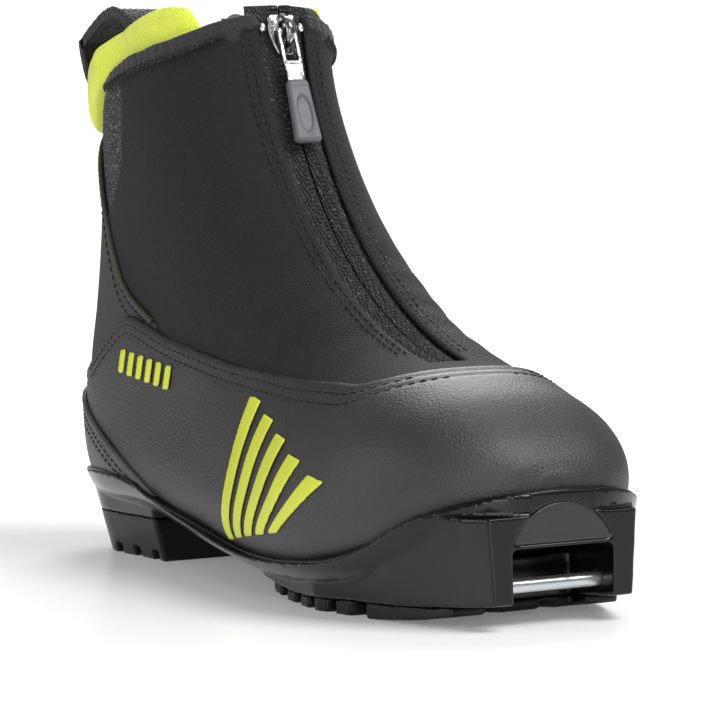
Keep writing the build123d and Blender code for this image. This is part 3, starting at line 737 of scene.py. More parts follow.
overlay = panel("overlay_wrap", [flip(height_over(OVERLAY_TOP)), height_over(SOLE_LINE, 2.5)],
                base=-0.1, rise=1.7, roll=1.6, material=UPPER, slot="overlay", open_edges=(1,), swell=0.3,
                relief=stitch_valleys((3.0, 5.6), 0.3), replaces=("lower_overlay", "base_upper"))
thicken(overlay, 1.6)


def counter_front(p):
    return 86 - p[:, 0]


counter = panel("counter_shell", [flip(height_over(COUNTER_TOP)), height_over(SOLE_LINE, 2.5), counter_front],
                base=1.3, rise=1.5, roll=2.0, material=COUNTER, slot="counter", open_edges=(1,), swell=0.25,
                relief=stitch_valleys((3.0, 5.4), 0.35), replaces=("heel_counter_panel",))
thicken(counter, 1.5)


def strap_band(p):
    return 7.0 - np.abs(p[:, 1])


def behind_ankle(p):
    return 30 - p[:, 0]


def strap_ribs(points, edge):
    return 0.1 * np.sin(points[:, 1] * 4.2) + 0.07 * np.sin(points[:, 2] * 3.3)


strap = panel("back_strap_webbing", [strap_band, behind_ankle, height_over(COUNTER_TOP, 1.0),
                                     flip(height_over(COLLAR_LOW, -2.0))],
              base=0.4, rise=1.7, roll=0.8, material=WEBBING, slot="webbing", open_edges=(1, 2, 3),
              relief=strap_ribs,
              replaces=("back_strap",))
thicken(strap, 1.5)

# %% [markdown]
# Lines of thread, piping and print need points on the skin. A ray from the side answers for the
# quarters, and a ray from the middle of the zip's arc answers for the edges of the slot.

# %% Finding points on the skin
def from_side(x, z, side):
    """Point and outward normal on the lateral (-1) or medial (1) side at a side-view place."""
    hit, normal, _, _ = SKIN_TREE.ray_cast(Vector((x, side * 120.0, z)), Vector((0, -side, 0)))
    if hit is None:
        return None
    return np.array(hit), np.array(normal if normal.y * side > 0 else -normal)


def from_zip(angle, y):
    """Point and outward normal on the front of the boot, at an angle on the zip's arc."""
    turn = math.radians(angle)
    way = Vector((math.cos(turn), 0, math.sin(turn)))
    start = Vector((ZIP_CENTRE[0], y, ZIP_CENTRE[1])) + way * 60
    hit, normal, _, _ = SKIN_TREE.ray_cast(start, way)
    if hit is None:
        return None
    return np.array(hit), np.array(normal if normal.dot(way) < 0 else -normal)


def along_seam(curve, side, shift=0.0, low=None, high=None):
    """Skin points that follow a side-view curve moved sideways by shift (upwards for a heel-to-toe curve)."""
    tangent = np.gradient(curve, axis=0)
    tangent /= np.linalg.norm(tangent, axis=1, keepdims=True)
    moved = curve + shift * np.stack([-tangent[:, 1], tangent[:, 0]], axis=1)
    found = []
    for x, z in moved:
        if (low is None or x >= low) and (high is None or x <= high):
            pair = from_side(x, z, side)
            if pair is not None:
                found.append(pair)
    return [p for p, _ in found], [n for _, n in found]


def even(points, normals, step):
    """The same line with points a fixed distance apart."""
    p, n = np.array(points), np.array(normals)
    gone = np.concatenate([[0], np.cumsum(np.linalg.norm(np.diff(p, axis=0), axis=1))])
    at = np.arange(0, gone[-1], step)
    q = np.stack([np.interp(at, gone, p[:, k]) for k in range(3)], axis=1)
    m = np.stack([np.interp(at, gone, n[:, k]) for k in range(3)], axis=1)
    return q, m / np.linalg.norm(m, axis=1, keepdims=True)


# %% Seams that run right round the boot
def seam_loop(test):
    """The line on the skin where a test is zero, walked round as one closed loop of points and normals."""
    p, n, f, seams = cut_panel([test])
    on_seam = np.abs(seams[:, 0]) < 1e-6
    links = {}
    for face in f:
        for a, b in zip(face, face[1:] + face[:1]):
            if on_seam[a] and on_seam[b] and a != b:
                links.setdefault(a, set()).add(b)
                links.setdefault(b, set()).add(a)
    best, left = [], set(links)
    while left:
        start = min(left)
        walk = [start]
        left.discard(start)
        while True:
            step = [v for v in links[walk[-1]] if v in left]
            if not step:
                break
            walk.append(step[0])
            left.discard(step[0])
        if len(walk) > len(best):
            best = walk
    ring = best + best[:1]
    return p[ring], n[ring]


def wall_top(point, normal):
    """Height of the sole wall's rim, found by looking down just outside a point of the seam."""
    flat = Vector((normal[0], normal[1], 0)).normalized()
    hit = SOLE_TREE.ray_cast(Vector(point) + flat * 3.0 + Vector((0, 0, 9)), Vector((0, 0, -1)), 15.0)[0]
    return point[2] if hit is None else max(hit.z, point[2] - 1.5)


def sole_lip(name, test, offset, tall, wide, material, slot_name):
    """A thin flange that rests on the rim of the sole wall and reaches a little past it."""
    points, normals = even(*seam_loop(test), 0.9)
    points[:, 2] = [wall_top(p, n) + 0.25 for p, n in zip(points, normals)]
    normals[:, 2] = 0.0
    for _ in range(14):
        points = (np.roll(points, 1, axis=0) + points * 2 + np.roll(points, -1, axis=0)) / 4
        normals = (np.roll(normals, 1, axis=0) + normals * 2 + np.roll(normals, -1, axis=0)) / 4
    normals = normals / np.linalg.norm(normals, axis=1, keepdims=True)
    points, normals = np.vstack([points, points[:1]]), np.vstack([normals, normals[:1]])
    shape = tube(points + normals * offset, normals, tall, sides=16, flat=wide / tall)
    return solid_piece(name, shape, material, slot_name, ("rand_bead",))


sole_mesh = nodes["sole_plate"].data
SOLE_TREE = BVHTree.FromPolygons([Vector(p) for p in to_layout([v.co for v in sole_mesh.vertices])],
                                 [tuple(q.vertices) for q in sole_mesh.polygons])

# %% Threads and beads
def stitch_row(lines, length=2.3, gap=1.0, radius=0.3, lift=0.0):
    """Points and faces of one capsule per stitch, for any number of lines of (points, normals)."""
    verts, faces = [], []
    ring = np.linspace(0, 2 * math.pi, 7)[:-1]
    stations = [(-0.5, 0.25), (-0.36, 0.85), (0.0, 1.0), (0.36, 0.85), (0.5, 0.25)]
    for points, normals in lines:
        p, n = even(points, normals, length + gap)
        for k in range(len(p) - 1):
            way = p[k + 1] - p[k]
            way /= np.linalg.norm(way)
            across = np.cross(way, n[k])
            across /= np.linalg.norm(across)
            up = np.cross(across, way)
            start = len(verts)
            for s, size in stations:
                sag = radius * 0.9 * (1 - (2 * s) ** 2) - radius * 0.5
                centre = p[k] + way * (s * length) + up * (lift + sag)
                for a in ring:
                    verts.append(centre + (across * math.cos(a) + up * math.sin(a)) * radius * size)
            faces += ring_faces(len(stations), len(ring), start)
    return np.array(verts), faces


def tube(points, normals, radius, sides=12, flat=1.0):
    """A bead that follows a line; radius may vary along it and flat squeezes it against the skin."""
    p, n = np.array(points), np.array(normals)
    way = np.gradient(p, axis=0)
    way /= np.linalg.norm(way, axis=1, keepdims=True)
    across = np.cross(way, n)
    across /= np.linalg.norm(across, axis=1, keepdims=True)
    up = np.cross(across, way)
    size = np.broadcast_to(np.asarray(radius, float), (len(p),))
    turn = np.linspace(0, 2 * math.pi, sides + 1)[:-1]
    verts = (p[:, None] + across[:, None] * (size[:, None] * np.cos(turn))[..., None]
             + up[:, None] * (size[:, None] * flat * np.sin(turn))[..., None]).reshape(-1, 3)
    return verts, ring_faces(len(p), sides)


SIDES = (("lateral", -1), ("medial", 1))
sole_lip("rand_lip", height_over(SOLE_LINE, -0.3), offset=2.5, tall=0.7, wide=2.2, material=SOLE,
         slot_name="sole")
for side, way in SIDES:
    p, n = even(*along_seam(COUNTER_TOP, way, low=-5.5, high=84), 0.9)
    verts, faces = tube(p + n * 2.1, n, 1.25, flat=0.8)
    new_piece("counter_rim_" + side, verts, faces, COUNTER, "counter")
    p, n = even(*along_seam(PIPING, way, low=12, high=80), 0.8)
    verts, faces = tube(p + n * 0.5, n, 1.0 + 0.06 * np.sin(np.arange(len(p)) * 1.9), flat=0.9)
    bead = new_piece("piping_bead_" + side, verts, faces, PIPE, "piping")
    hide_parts("piping_" + side)

overlay_rows, counter_rows, slot_rows, heel_rows = [], [], [], []
for way in (-1, 1):
    for shift in (-3.0, -5.6):
        line = along_seam(OVERLAY_TOP, way, shift, low=26, high=248)
        overlay_rows.append((np.array(line[0]) + np.array(line[1]) * 1.45, line[1]))
        line = along_seam(COUNTER_TOP, way, shift, low=-4, high=80)
        counter_rows.append((np.array(line[0]) + np.array(line[1]) * 2.6, line[1]))
    for shift in (-2.4, -6.0):
        line = along_seam(PIPING, way, shift, low=20, high=78)
        heel_rows.append((np.array(line[0]) + np.array(line[1]) * 0.25, line[1]))
    for gap in (2.6, 5.0):
        found = []
        for angle in np.linspace(193, 255, 150):
            x, z = on_arc(angle)
            pair = from_zip(angle, way * (slot_half(np.array([[x, 0.0, z]]))[0] + gap))
            if pair is not None:
                found.append(pair)
        slot_rows.append(([q + m * 0.25 for q, m in found], [m for _, m in found]))
for label, rows, mat, slot_name in (("overlay_stitching", overlay_rows, THREAD, "overlay"),
                                    ("counter_stitching", counter_rows, THREAD, "counter"),
                                    ("slot_stitching", slot_rows, THREAD, "cover_fabric"),
                                    ("heel_stitching", heel_rows, THREAD, "ankle_fabric")):
    new_piece(label, *stitch_row(rows), mat, slot_name)
    print(label, "rows", len(rows))

# %% [markdown]
# The side print is a row of slanted bars that lean forward over the arch and a second row of short
# dashes above. A real one is a thick screen print or welded film: it stands up about a third of a
# millimetre, so it is cut from the same skin with parallelogram seams instead of being painted.

# %% The side print
def parallelogram(x0, x1, z0, z1, lean0, lean1, rise0=0.0, rise1=0.0):
    """Test: inside a four-sided patch; its foot runs x0..x1 at z0 and its head is moved by lean."""
    foot_a, foot_b = (x0, z0), (x1, z0 + rise0)
    head_a, head_b = (x0 + lean0, z1), (x1 + lean1, z1 + rise1)
    corners = [foot_a, foot_b, head_b, head_a]

    def test(p):
        inside = np.full(len(p), 99.0)
        for (ax, az), (bx, bz) in zip(corners, corners[1:] + corners[:1]):
            size = math.hypot(bx - ax, bz - az)
            inside = np.minimum(inside, ((bx - ax) * (p[:, 2] - az) - (bz - az) * (p[:, 0] - ax)) / size)
        return inside
    return test


FINE_U = np.linspace(3.6, 12.4, 420)
FINE_T = np.linspace(0, 2 * math.pi, 577)[:-1]
fine = foot_surface(FINE_U, FINE_T)
fine_n = np.cross(np.roll(fine, -1, axis=1) - np.roll(fine, 1, axis=1), np.gradient(fine, axis=0))
fine_n /= np.linalg.norm(fine_n, axis=2, keepdims=True) + 1e-9
if (fine_n[..., 1] * fine[..., 1]).sum() < 0:
    fine_n = -fine_n
fine_quads = np.array(grid_faces(len(FINE_U), len(FINE_T), closed=True, flipped=True))


def print_patches(name, tests, replaces_node):
    verts, faces = [], []
    for side in (lateral, medial):
        for test in tests:
            p, n, f, seams = cut_panel([side, test], fine.reshape(-1, 3), fine_n.reshape(-1, 3),
                                       fine_quads)
            edge = np.clip(seams[:, 1] / 0.3, 0, 1)
            lifted = p + n * (1.68 + 0.22 * np.sqrt(1 - (1 - edge) ** 2))[:, None]
            faces += [[v + len(verts) for v in face] for face in f]
            verts += list(lifted)
    piece = new_piece(name, np.array(verts), faces, PRINT, "print_yellow")
    thicken(piece, 0.4)
    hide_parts(replaces_node)
    print(name, len(faces), "faces")


print_patches("side_bar_print",
              [parallelogram(141 + 9.5 * i, 146.5 + 9.5 * i, 17 + 1.2 * i, 57 - 4.6 * i,
                             9 + 3.5 * i, 10.5 + 3.5 * i, 0.6, -1.2) for i in range(5)], "side_bars")
print_patches("side_dash_print",
              [parallelogram(58 + 6.6 * i, 61.4 + 6.6 * i, 61 - 0.75 * i, 68 - 0.75 * i, 2.2, 2.2)
               for i in range(6)], "side_dashes")

# %% [markdown]
# The zip is a reverse coil one: its teeth are hidden behind and the face shows a ribbed woven tape on
# each side of a thin dark line. The ribs are what catches the light, so they are real relief along
# the tape's arc, and only the salt-and-pepper threads are left to the material.

# %% The zip tapes
ZIP_TOP = 187.8
COIL_PITCH = 1.1


def zip_frame(angle):
    """Unit vectors at a place on the arc: out of the boot, and down the zip."""
    turn = math.radians(angle)
    out = np.array([-math.cos(turn), 0.0, -math.sin(turn)])
    down = np.array([-math.sin(turn), 0.0, math.cos(turn)])
    return out, down


def zip_point(angle, depth, y):
    """Place on the zip: an angle on its arc, a depth into the boot and a step across."""
    out, _ = zip_frame(angle)
    return np.array([ZIP_CENTRE[0], y, ZIP_CENTRE[1]]) - out * (ARC_R + depth)


TAPE_STATIONS = (0.35, 0.6, 1.2, 2.0, 2.8, 3.6, 4.3, 4.8, 5.4, 7.0, 8.5, 10.0, 11.5)
RIB_PITCH = 1.6


def zip_tape(name, side, node_names):
    rows = np.linspace(ZIP_TOP, 256.4, 740)
    face, back = [], []
    for angle in rows:
        out, _ = zip_frame(angle)
        turn = math.radians(angle) * ARC_R * 2 * math.pi / RIB_PITCH
        rib = math.sin(turn + (0 if side > 0 else math.pi))
        weave = math.sin(2 * turn)
        for y in TAPE_STATIONS:
            ribbed = math.exp(-((y - 2.5) / 2.0) ** 4)
            rise = 0.42 * rib * ribbed + 0.75 * ribbed + 0.05 * weave * math.sin(y * 5.1)
            point, normal = from_zip(angle, side * y)
            face.append(point - normal * 2.0 + out * rise)
            back.append(point - normal * 2.9)
    solid_piece(name, (np.array(face + back), slab_faces(len(rows), len(TAPE_STATIONS))), TAPE, "zip_tape",
                node_names)


zip_tape("zip_tape_ribbed_lateral", -1, ("zip_tape_lateral",))
zip_tape("zip_tape_ribbed_medial", 1, ("zip_tape_medial",))


def zip_coil(name, node_name):
    """The coil behind the tape: a bead with one swelling for each turn of the wire."""
    raw = to_layout([v.co for v in nodes[node_name].data.vertices])
    radial = np.hypot(raw[:, 0] - ZIP_CENTRE[0], raw[:, 2] - ZIP_CENTRE[1])
    half = (raw[:, 1].max() - raw[:, 1].min()) / 2
    y, reach = (raw[:, 1].max() + raw[:, 1].min()) / 2, (radial.max() + radial.min()) / 2
    angles = np.linspace(ZIP_TOP + 0.2, 256.2, 1100)
    swelling = 0.88 + 0.12 * np.sin(np.radians(angles) * ARC_R * 2 * math.pi / COIL_PITCH)
    shape = tube([zip_point(a, reach - ARC_R, y) for a in angles], [zip_frame(a)[0] for a in angles],
                 half * swelling, sides=10, flat=(radial.max() - radial.min()) / 2 / half)
    solid_piece(name, shape, THREAD, "zip_coil", (node_name,))


zip_coil("zip_coil_wound_lateral", "zip_coil_lateral")
zip_coil("zip_coil_wound_medial", "zip_coil_medial")
print("zip from", zip_point(ZIP_TOP, 2, 0).round(1), "to", zip_point(256.4, 2, 0).round(1))

# %% [markdown]
# Round the cuff the cover's edge is turned over a soft band: a folded hem about ten millimetres high
# with a stitched lower edge. A folded band has no sharp corner anywhere, so it is built as a solid,
# joined with its two rounded front ends, then remeshed and relaxed until it is one soft shape.

# %% The hem bands
def evaluated_mesh(piece):
    depsgraph = bpy.context.evaluated_depsgraph_get()
    return bpy.data.meshes.new_from_object(piece.evaluated_get(depsgraph))


def relax(piece, voxel, rounds, factor=0.5):
    """Joins everything in the piece into one closed skin and softens its corners."""
    weld = piece.modifiers.new("one_skin", "REMESH")
    weld.mode = "VOXEL"
    weld.voxel_size = voxel * MM
    weld.use_smooth_shade = True
    soft = piece.modifiers.new("soft_corners", "SMOOTH")
    soft.factor = factor
    soft.iterations = rounds
    old = piece.data
    material = old.materials[0]
    piece.data = evaluated_mesh(piece)
    piece.modifiers.clear()
    piece.data.materials.clear()
    piece.data.materials.append(material)
    piece.data.polygons.foreach_set("use_smooth", [True] * len(piece.data.polygons))
    piece.data.name = piece.name
    bpy.data.meshes.remove(old)
    return piece


def blob(centre, axes, sizes, rings=14, sides=20):
    """Points and faces of a soft ellipsoid, as raw stuff for a remesh."""
    verts, faces = [], []
    axes = np.array(axes, float)
    for r in range(1, rings):
        lift = math.pi * r / rings
        for s in range(sides):
            turn = 2 * math.pi * s / sides
            local = (math.cos(turn) * math.sin(lift), math.sin(turn) * math.sin(lift), math.cos(lift))
            verts.append(np.asarray(centre) + sum(axes[k] * sizes[k] * local[k] for k in range(3)))
    top, low = len(verts), len(verts) + 1
    verts.append(np.asarray(centre) + axes[2] * sizes[2])
    verts.append(np.asarray(centre) - axes[2] * sizes[2])
    faces += grid_faces(rings - 1, sides, closed=True, flipped=True)
    for s in range(sides):
        t = (s + 1) % sides
        faces.append([top, s, t])
        faces.append([low, (rings - 2) * sides + t, (rings - 2) * sides + s])
    return verts, faces


def front_of_collar(p):
    return p[:, 0] - 44.0


def slot_edge(p):
    return np.abs(p[:, 1]) - (slot_half(p) + 0.3)


def solid_panel(tests, outer, inner):
    """A closed block of the skin between two depths, as raw points and faces."""
    p, n, f, _ = cut_panel(tests)
    count = {}
    for face in f:
        for a, b in zip(face, face[1:] + face[:1]):
            count[(a, b)] = count.get((a, b), 0) + 1
    rim = [(a, b) for (a, b) in count if (b, a) not in count]
    k = len(p)
    verts = list(p + n * outer) + list(p + n * inner)
    faces = [list(face) for face in f] + [[v + k for v in face[::-1]] for face in f]
    faces += [[b, a, a + k, b + k] for a, b in rim]
    return verts, faces


def hem_band(name, half, lobe, node_name):
    verts, faces = solid_panel([half, height_over(HEM_STITCH, 0.5), flip(height_over(HEM_TOP)), slot_edge,
                                front_of_collar], 1.4, -1.9)
    band = new_piece(name, *merge((verts, faces), blob(lobe[0], ZIPWARD, lobe[1])), HEM, "hem_fabric")
    relax(band, 0.5, 14)
    p = to_layout([v.co for v in band.data.vertices])
    n = np.array([v.normal for v in band.data.vertices])
    rib = 0.12 * np.sin(round_cuff(p) * 1.7) * np.clip((np.abs(n[:, 2]) < 0.8) * 1.0, 0, 1)
    swell = 0.45 * wander(p, 9.0, 5)
    moved = p + n * (rib + swell)[:, None]
    band.data.vertices.foreach_set("co", place(moved).ravel())
    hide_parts(node_name)
    print(name, len(band.data.vertices), "points")


LEAN = math.radians(10)
ZIPWARD = [(math.cos(LEAN), 0, math.sin(LEAN)), (0, 1, 0), (-math.sin(LEAN), 0, math.cos(LEAN))]
hem_band("hem_band_lateral", lateral, ((98.5, -13.0, 165.6), (3.2, 4.8, 5.6)), "hem_lateral")
hem_band("hem_band_medial", medial, ((96.5, 12.6, 166.2), (4.2, 5.2, 7.6)), "hem_medial")

hem_rows = []
for way in (-1, 1):
    zigzag_p, zigzag_n = along_seam(HEM_STITCH, way, 1.2, low=46, high=99)
    zigzag_p, zigzag_n = even(zigzag_p, zigzag_n, 1.25)
    for k in range(len(zigzag_p) - 1):
        lean = 1.2 if k % 2 else -0.4
        foot = zigzag_p[k] + zigzag_n[k] * 1.5 + (0, 0, -1.6)
        head = zigzag_p[k] + zigzag_n[k] * 1.9 + (lean, 0, 1.4)
        steps = np.linspace(0, 1, 5)[:, None]
        hem_rows.append((foot + (head - foot) * steps, np.repeat(zigzag_n[k][None], 5, axis=0)))
new_piece("hem_overlock", *stitch_row(hem_rows, length=2.6, gap=0.3, radius=0.26, lift=0.25), THREAD,
          "hem_fabric")
print("hem overlock", len(hem_rows))

# %% [markdown]
# The yellow collar is a foam roll covered in smooth knit. It starts under the hem on each side and
# stands proud of the heel at the back, so it is a section swept round the cuff whose bulge grows
# towards the back. Foam under cloth is not even, so the roll gets slow swells and a few fine creases
# where it turns the corner to the hem.

# %% The collar roll
CUFF = np.array([60.0, 0.0])


def cuff_ray(phi, z):
    """Skin point and normal at a height, going round the cuff; phi 0 is the back, positive is lateral."""
    way = Vector((-math.cos(phi), -math.sin(phi), 0))
    hit, normal, _, _ = SKIN_TREE.ray_cast(Vector((CUFF[0], CUFF[1], z)), way)
    if hit is None:
        return None
    return np.array(hit), np.array(normal if normal.dot(way) > 0 else -normal)


def collar_mesh():
    reach = 2.6
    stations = np.linspace(-reach, reach, 230)
    turn = np.linspace(0, 2 * math.pi, 45)[:-1]
    verts = []
    for phi in stations:
        edge = cuff_ray(phi, 160.0)[0]
        under_hem = float(np.clip((edge[0] - 42) / 14, 0, 1))
        under_hem = under_hem ** 2 * (3 - 2 * under_hem)
        low = np.interp(edge[0], COLLAR_LOW[:, 0], COLLAR_LOW[:, 1]) - 2.6
        low = low * (1 - under_hem) + 155.0 * under_hem
        high = np.interp(edge[0], COLLAR_TOP[:, 0], COLLAR_TOP[:, 1])
        high = low + (high - low) * min(1.0, 0.3 + ((reach - abs(phi)) / 0.4) ** 0.6)
        back = math.exp(-(phi / 0.85) ** 2)
        tail = min(1.0, (reach - abs(phi)) / 0.2 + 0.2)
        middle, half = (low + high) / 2, (high - low) / 2
        thick = ((4.1 + 0.7 * back) * (1 - under_hem) + 2.1 * under_hem) * tail
        centre = (-0.7 + 0.8 * back) * (1 - under_hem) - 3.9 * under_hem
        for t in turn:
            c, s = math.cos(t), math.sin(t)
            z = middle + half * math.copysign(abs(s) ** 0.8, s)
            skin_p, skin_n = cuff_ray(phi, min(z, 178.5))
            flat = np.array([skin_n[0], skin_n[1], 0.0])
            flat /= np.linalg.norm(flat)
            outward = thick * math.copysign(abs(c) ** 0.62, c)
            crease = 0.22 * math.sin(phi * 24 + s * 1.5) * max(0.0, 1 - abs(abs(phi) - 1.25) / 0.4)
            verts.append(np.array([skin_p[0], skin_p[1], z]) + flat * (centre + outward + crease))
    return np.array(verts), ring_faces(len(stations), len(turn))


verts, faces = collar_mesh()
verts += 0.35 * np.stack([wander(verts, 16.0, 3 + k) for k in range(3)], axis=1)
collar = solid_piece("collar_roll", (verts, faces), YELLOW, "collar_yellow", ("heel_collar",))

# %% [markdown]
# Behind the collar a loop of black webbing helps to pull the boot on. It is one strap, 23 mm wide and
# 2 mm thick, sewn down at both ends. Webbing is woven in ribs along its length and its two edges are
# thicker, so the section has real ribs and beaded edges.

# %% The pull loop
LOOP = smooth([(17, 166), (14.5, 174), (6, 178.8), (-4, 178), (-14, 174.3), (-23.4, 170.8), (-24.3, 169),
               (-22, 162.5), (-18, 156), (-9, 149.5), (8, 144)], 140)


LOOP_HALF = 11.4
LOOP_THICK = 2.0


def loop_mesh():
    tangent = np.gradient(LOOP, axis=0)
    tangent /= np.linalg.norm(tangent, axis=1, keepdims=True)
    inner_way = np.stack([-tangent[:, 1], tangent[:, 0]], axis=1)
    if (inner_way * (np.array([-5.0, 165.0]) - LOOP)).sum() < 0:
        inner_way = -inner_way
    ys = np.linspace(-LOOP_HALF, LOOP_HALF, 47)
    face, back = [], []
    for k in range(len(LOOP)):
        for y in ys:
            share = abs(y) / LOOP_HALF
            bead = 0.35 * math.exp(-((abs(y) - 10.6) / 0.7) ** 2)
            rib = 0.12 * math.sin(y * 2.9) + 0.08 * math.sin(k * 1.15)
            worn = 0.75 * max(0.0, share - 0.93) / 0.07
            pinch = 1.2 * math.exp(-((k - 70) / 9.0) ** 2) * share ** 2
            for layer, lift in ((face, bead + rib - worn), (back, LOOP_THICK - bead * 0.4 - rib + worn)):
                x, z = LOOP[k] + inner_way[k] * (lift + pinch)
                layer.append((x, y, z))
    return np.array(face + back), slab_faces(len(LOOP), len(ys))


solid_piece("pull_loop_webbing", loop_mesh(), WEBBING, "webbing", ("pull_loop",))

# %% [markdown]
# Inside, a soft lining hides the padding and turns down from the rim, a tongue lies behind the zip
# and a felt footbed covers the board. They are seen only from above, so each is the foot surface
# again, set inwards, with slow wrinkles that real lining cloth always shows.

# %% Lining, tongue and footbed
def inset_depth(u_rows, turns, base):
    near = np.exp(-(np.minimum(turns, 2 * math.pi - turns) / 0.55) ** 2)
    taper = np.clip((14.6 - u_rows) / 2.6, 0.05, 1)
    return -(base + 2.6 * near[None, :] * np.clip((11 - u_rows) / 2, 0, 1)[:, None]) * taper[:, None]


def rim_test(p):
    front = np.interp(p[:, 0], HEM_TOP[:, 0], HEM_TOP[:, 1]) - 1.8
    back = np.interp(p[:, 0], COLLAR_TOP[:, 0], COLLAR_TOP[:, 1]) - 3.0
    return np.where(p[:, 0] > 52, front, back) - p[:, 2]


depths = inset_depth(GRID_U, GRID_T, 6.2).reshape(-1)
inner = POINTS + NORMALS * (depths + 0.5 * wander(POINTS, 14.0, 8))[:, None]
inner_quads = QUADS[(GRID_U[row.reshape(-1)] < 14.2)]
p, n, f, _ = cut_panel([rim_test], inner, NORMALS, inner_quads)
lining_piece = new_piece("lining_cloth", p, f, LINING, "lining")
thicken(lining_piece, 0.8)
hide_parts("lining", "quarter_padding")


def tongue_band(p):
    return 15.5 - np.abs(p[:, 1])


def tongue_reach(p):
    return np.where(p[:, 0] < 196, 1.0, 196 - p[:, 0])


def above_board(p):
    return p[:, 2] - 52


def tongue_top(p):
    return 170.0 - p[:, 2]


tongue_depth = -(4.4 + 0.7 * np.cos(POINTS[:, 1] / 3.2) ** 2)
middle = POINTS + NORMALS * (tongue_depth + 0.3 * wander(POINTS, 11.0, 2))[:, None]
front_quads = QUADS[(np.cos(GRID_T[col.reshape(-1)]) > 0.2)]
p, n, f, _ = cut_panel([tongue_band, tongue_reach, above_board, tongue_top], middle, NORMALS, front_quads)
tongue_piece = new_piece("tongue_pad", p, f, LINING, "tongue_fabric")
thicken(tongue_piece, 3.0)
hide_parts("tongue")

low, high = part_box("footbed")
xs = np.linspace(low.x, high.x, 120)
bed_tree = BVHTree.FromPolygons([v.co for v in nodes["footbed"].data.vertices],
                                [tuple(q.vertices) for q in nodes["footbed"].data.polygons])
verts = []
ys = np.linspace(-1, 1, 33)
for x in xs:
    span = []
    for y in np.linspace(low.y, high.y, 90):
        hit = bed_tree.ray_cast(Vector((x, y, high.z + 0.02)), Vector((0, 0, -1)))[0]
        if hit is not None:
            span.append(hit)
    if len(span) < 4:
        continue
    row_y = np.interp((ys + 1) / 2, np.linspace(0, 1, len(span)), [h.y for h in span])
    row_z = np.interp(row_y, [h.y for h in span], [h.z for h in span])
    for y, z, s in zip(row_y, row_z, ys):
        ripple = 0.00025 * noise.noise(Vector((x, y, z)) * 90)
        verts.append((x, y, z + ripple + 0.0012 * max(0.0, abs(s) - 0.8) / 0.2))
faces = grid_faces(len(verts) // len(ys), len(ys), flipped=True)
bed = new_piece("footbed_felt", to_layout(verts), faces, FELT, "footbed_felt")
thicken(bed, 2.0)
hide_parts("footbed")
print("inside pieces done")

# %% [markdown]
# The slider is die cast: a shield-shaped plate over the tape, a bridge on top and a rounded nose. The
# puller hangs from the bridge as a stamped link with a window in it, and a rubber grip is moulded on
# its end. The puller's own axes start at its pivot, so its parts ride with it when it swings up.

# %% Shapes of the slider and the puller
SLIDER_AT = 192.1
PIVOT_R = 124.3
PULLER_LIFT = 9.0


def slider_point(s, y, h):
    """Place on the slider: s mm down the zip, y across, h mm out from the skin."""
    return zip_point(SLIDER_AT + math.degrees(s / ARC_R), -h, y)


def puller_point(s, y, h):
    turn = math.radians(SLIDER_AT + PULLER_LIFT)
    pivot = zip_point(SLIDER_AT, PIVOT_R - ARC_R, 0.0)
    along = np.array([-math.sin(turn), 0.0, math.cos(turn)])
    out = np.array([-math.cos(turn), 0.0, -math.sin(turn)])
    return pivot + along * s + np.array([0.0, y, 0.0]) + out * h


def rounded(corners, radius, count=96):
    """Closed outline with its corners rounded, evenly spaced."""
    pts = []
    ring = [np.array(c, float) for c in corners]
    for k, here in enumerate(ring):
        before, after = ring[k - 1], ring[(k + 1) % len(ring)]
        r = radius[k] if hasattr(radius, "__len__") else radius
        a = here + (before - here) / np.linalg.norm(before - here) * r
        b = here + (after - here) / np.linalg.norm(after - here) * r
        for f in np.linspace(0, 1, 7):
            pts.append((1 - f) ** 2 * a + 2 * f * (1 - f) * here + f ** 2 * b)
    p = np.array(pts + pts[:1])
    gone = np.concatenate([[0], np.cumsum(np.linalg.norm(np.diff(p, axis=0), axis=1))])
    at = np.linspace(0, gone[-1], count + 1)[:-1]
    return np.stack([np.interp(at, gone, p[:, 0]), np.interp(at, gone, p[:, 1])], axis=1)


def inward(outline, amount):
    """The outline moved towards its inside by a small amount."""
    way = np.roll(outline, -1, axis=0) - np.roll(outline, 1, axis=0)
    way /= np.linalg.norm(way, axis=1, keepdims=True)
    normal = np.stack([-way[:, 1], way[:, 0]], axis=1)
    area = (outline[:, 0] * np.roll(outline[:, 1], -1) - np.roll(outline[:, 0], -1) * outline[:, 1]).sum()
    return outline + normal * amount * (1 if area > 0 else -1)


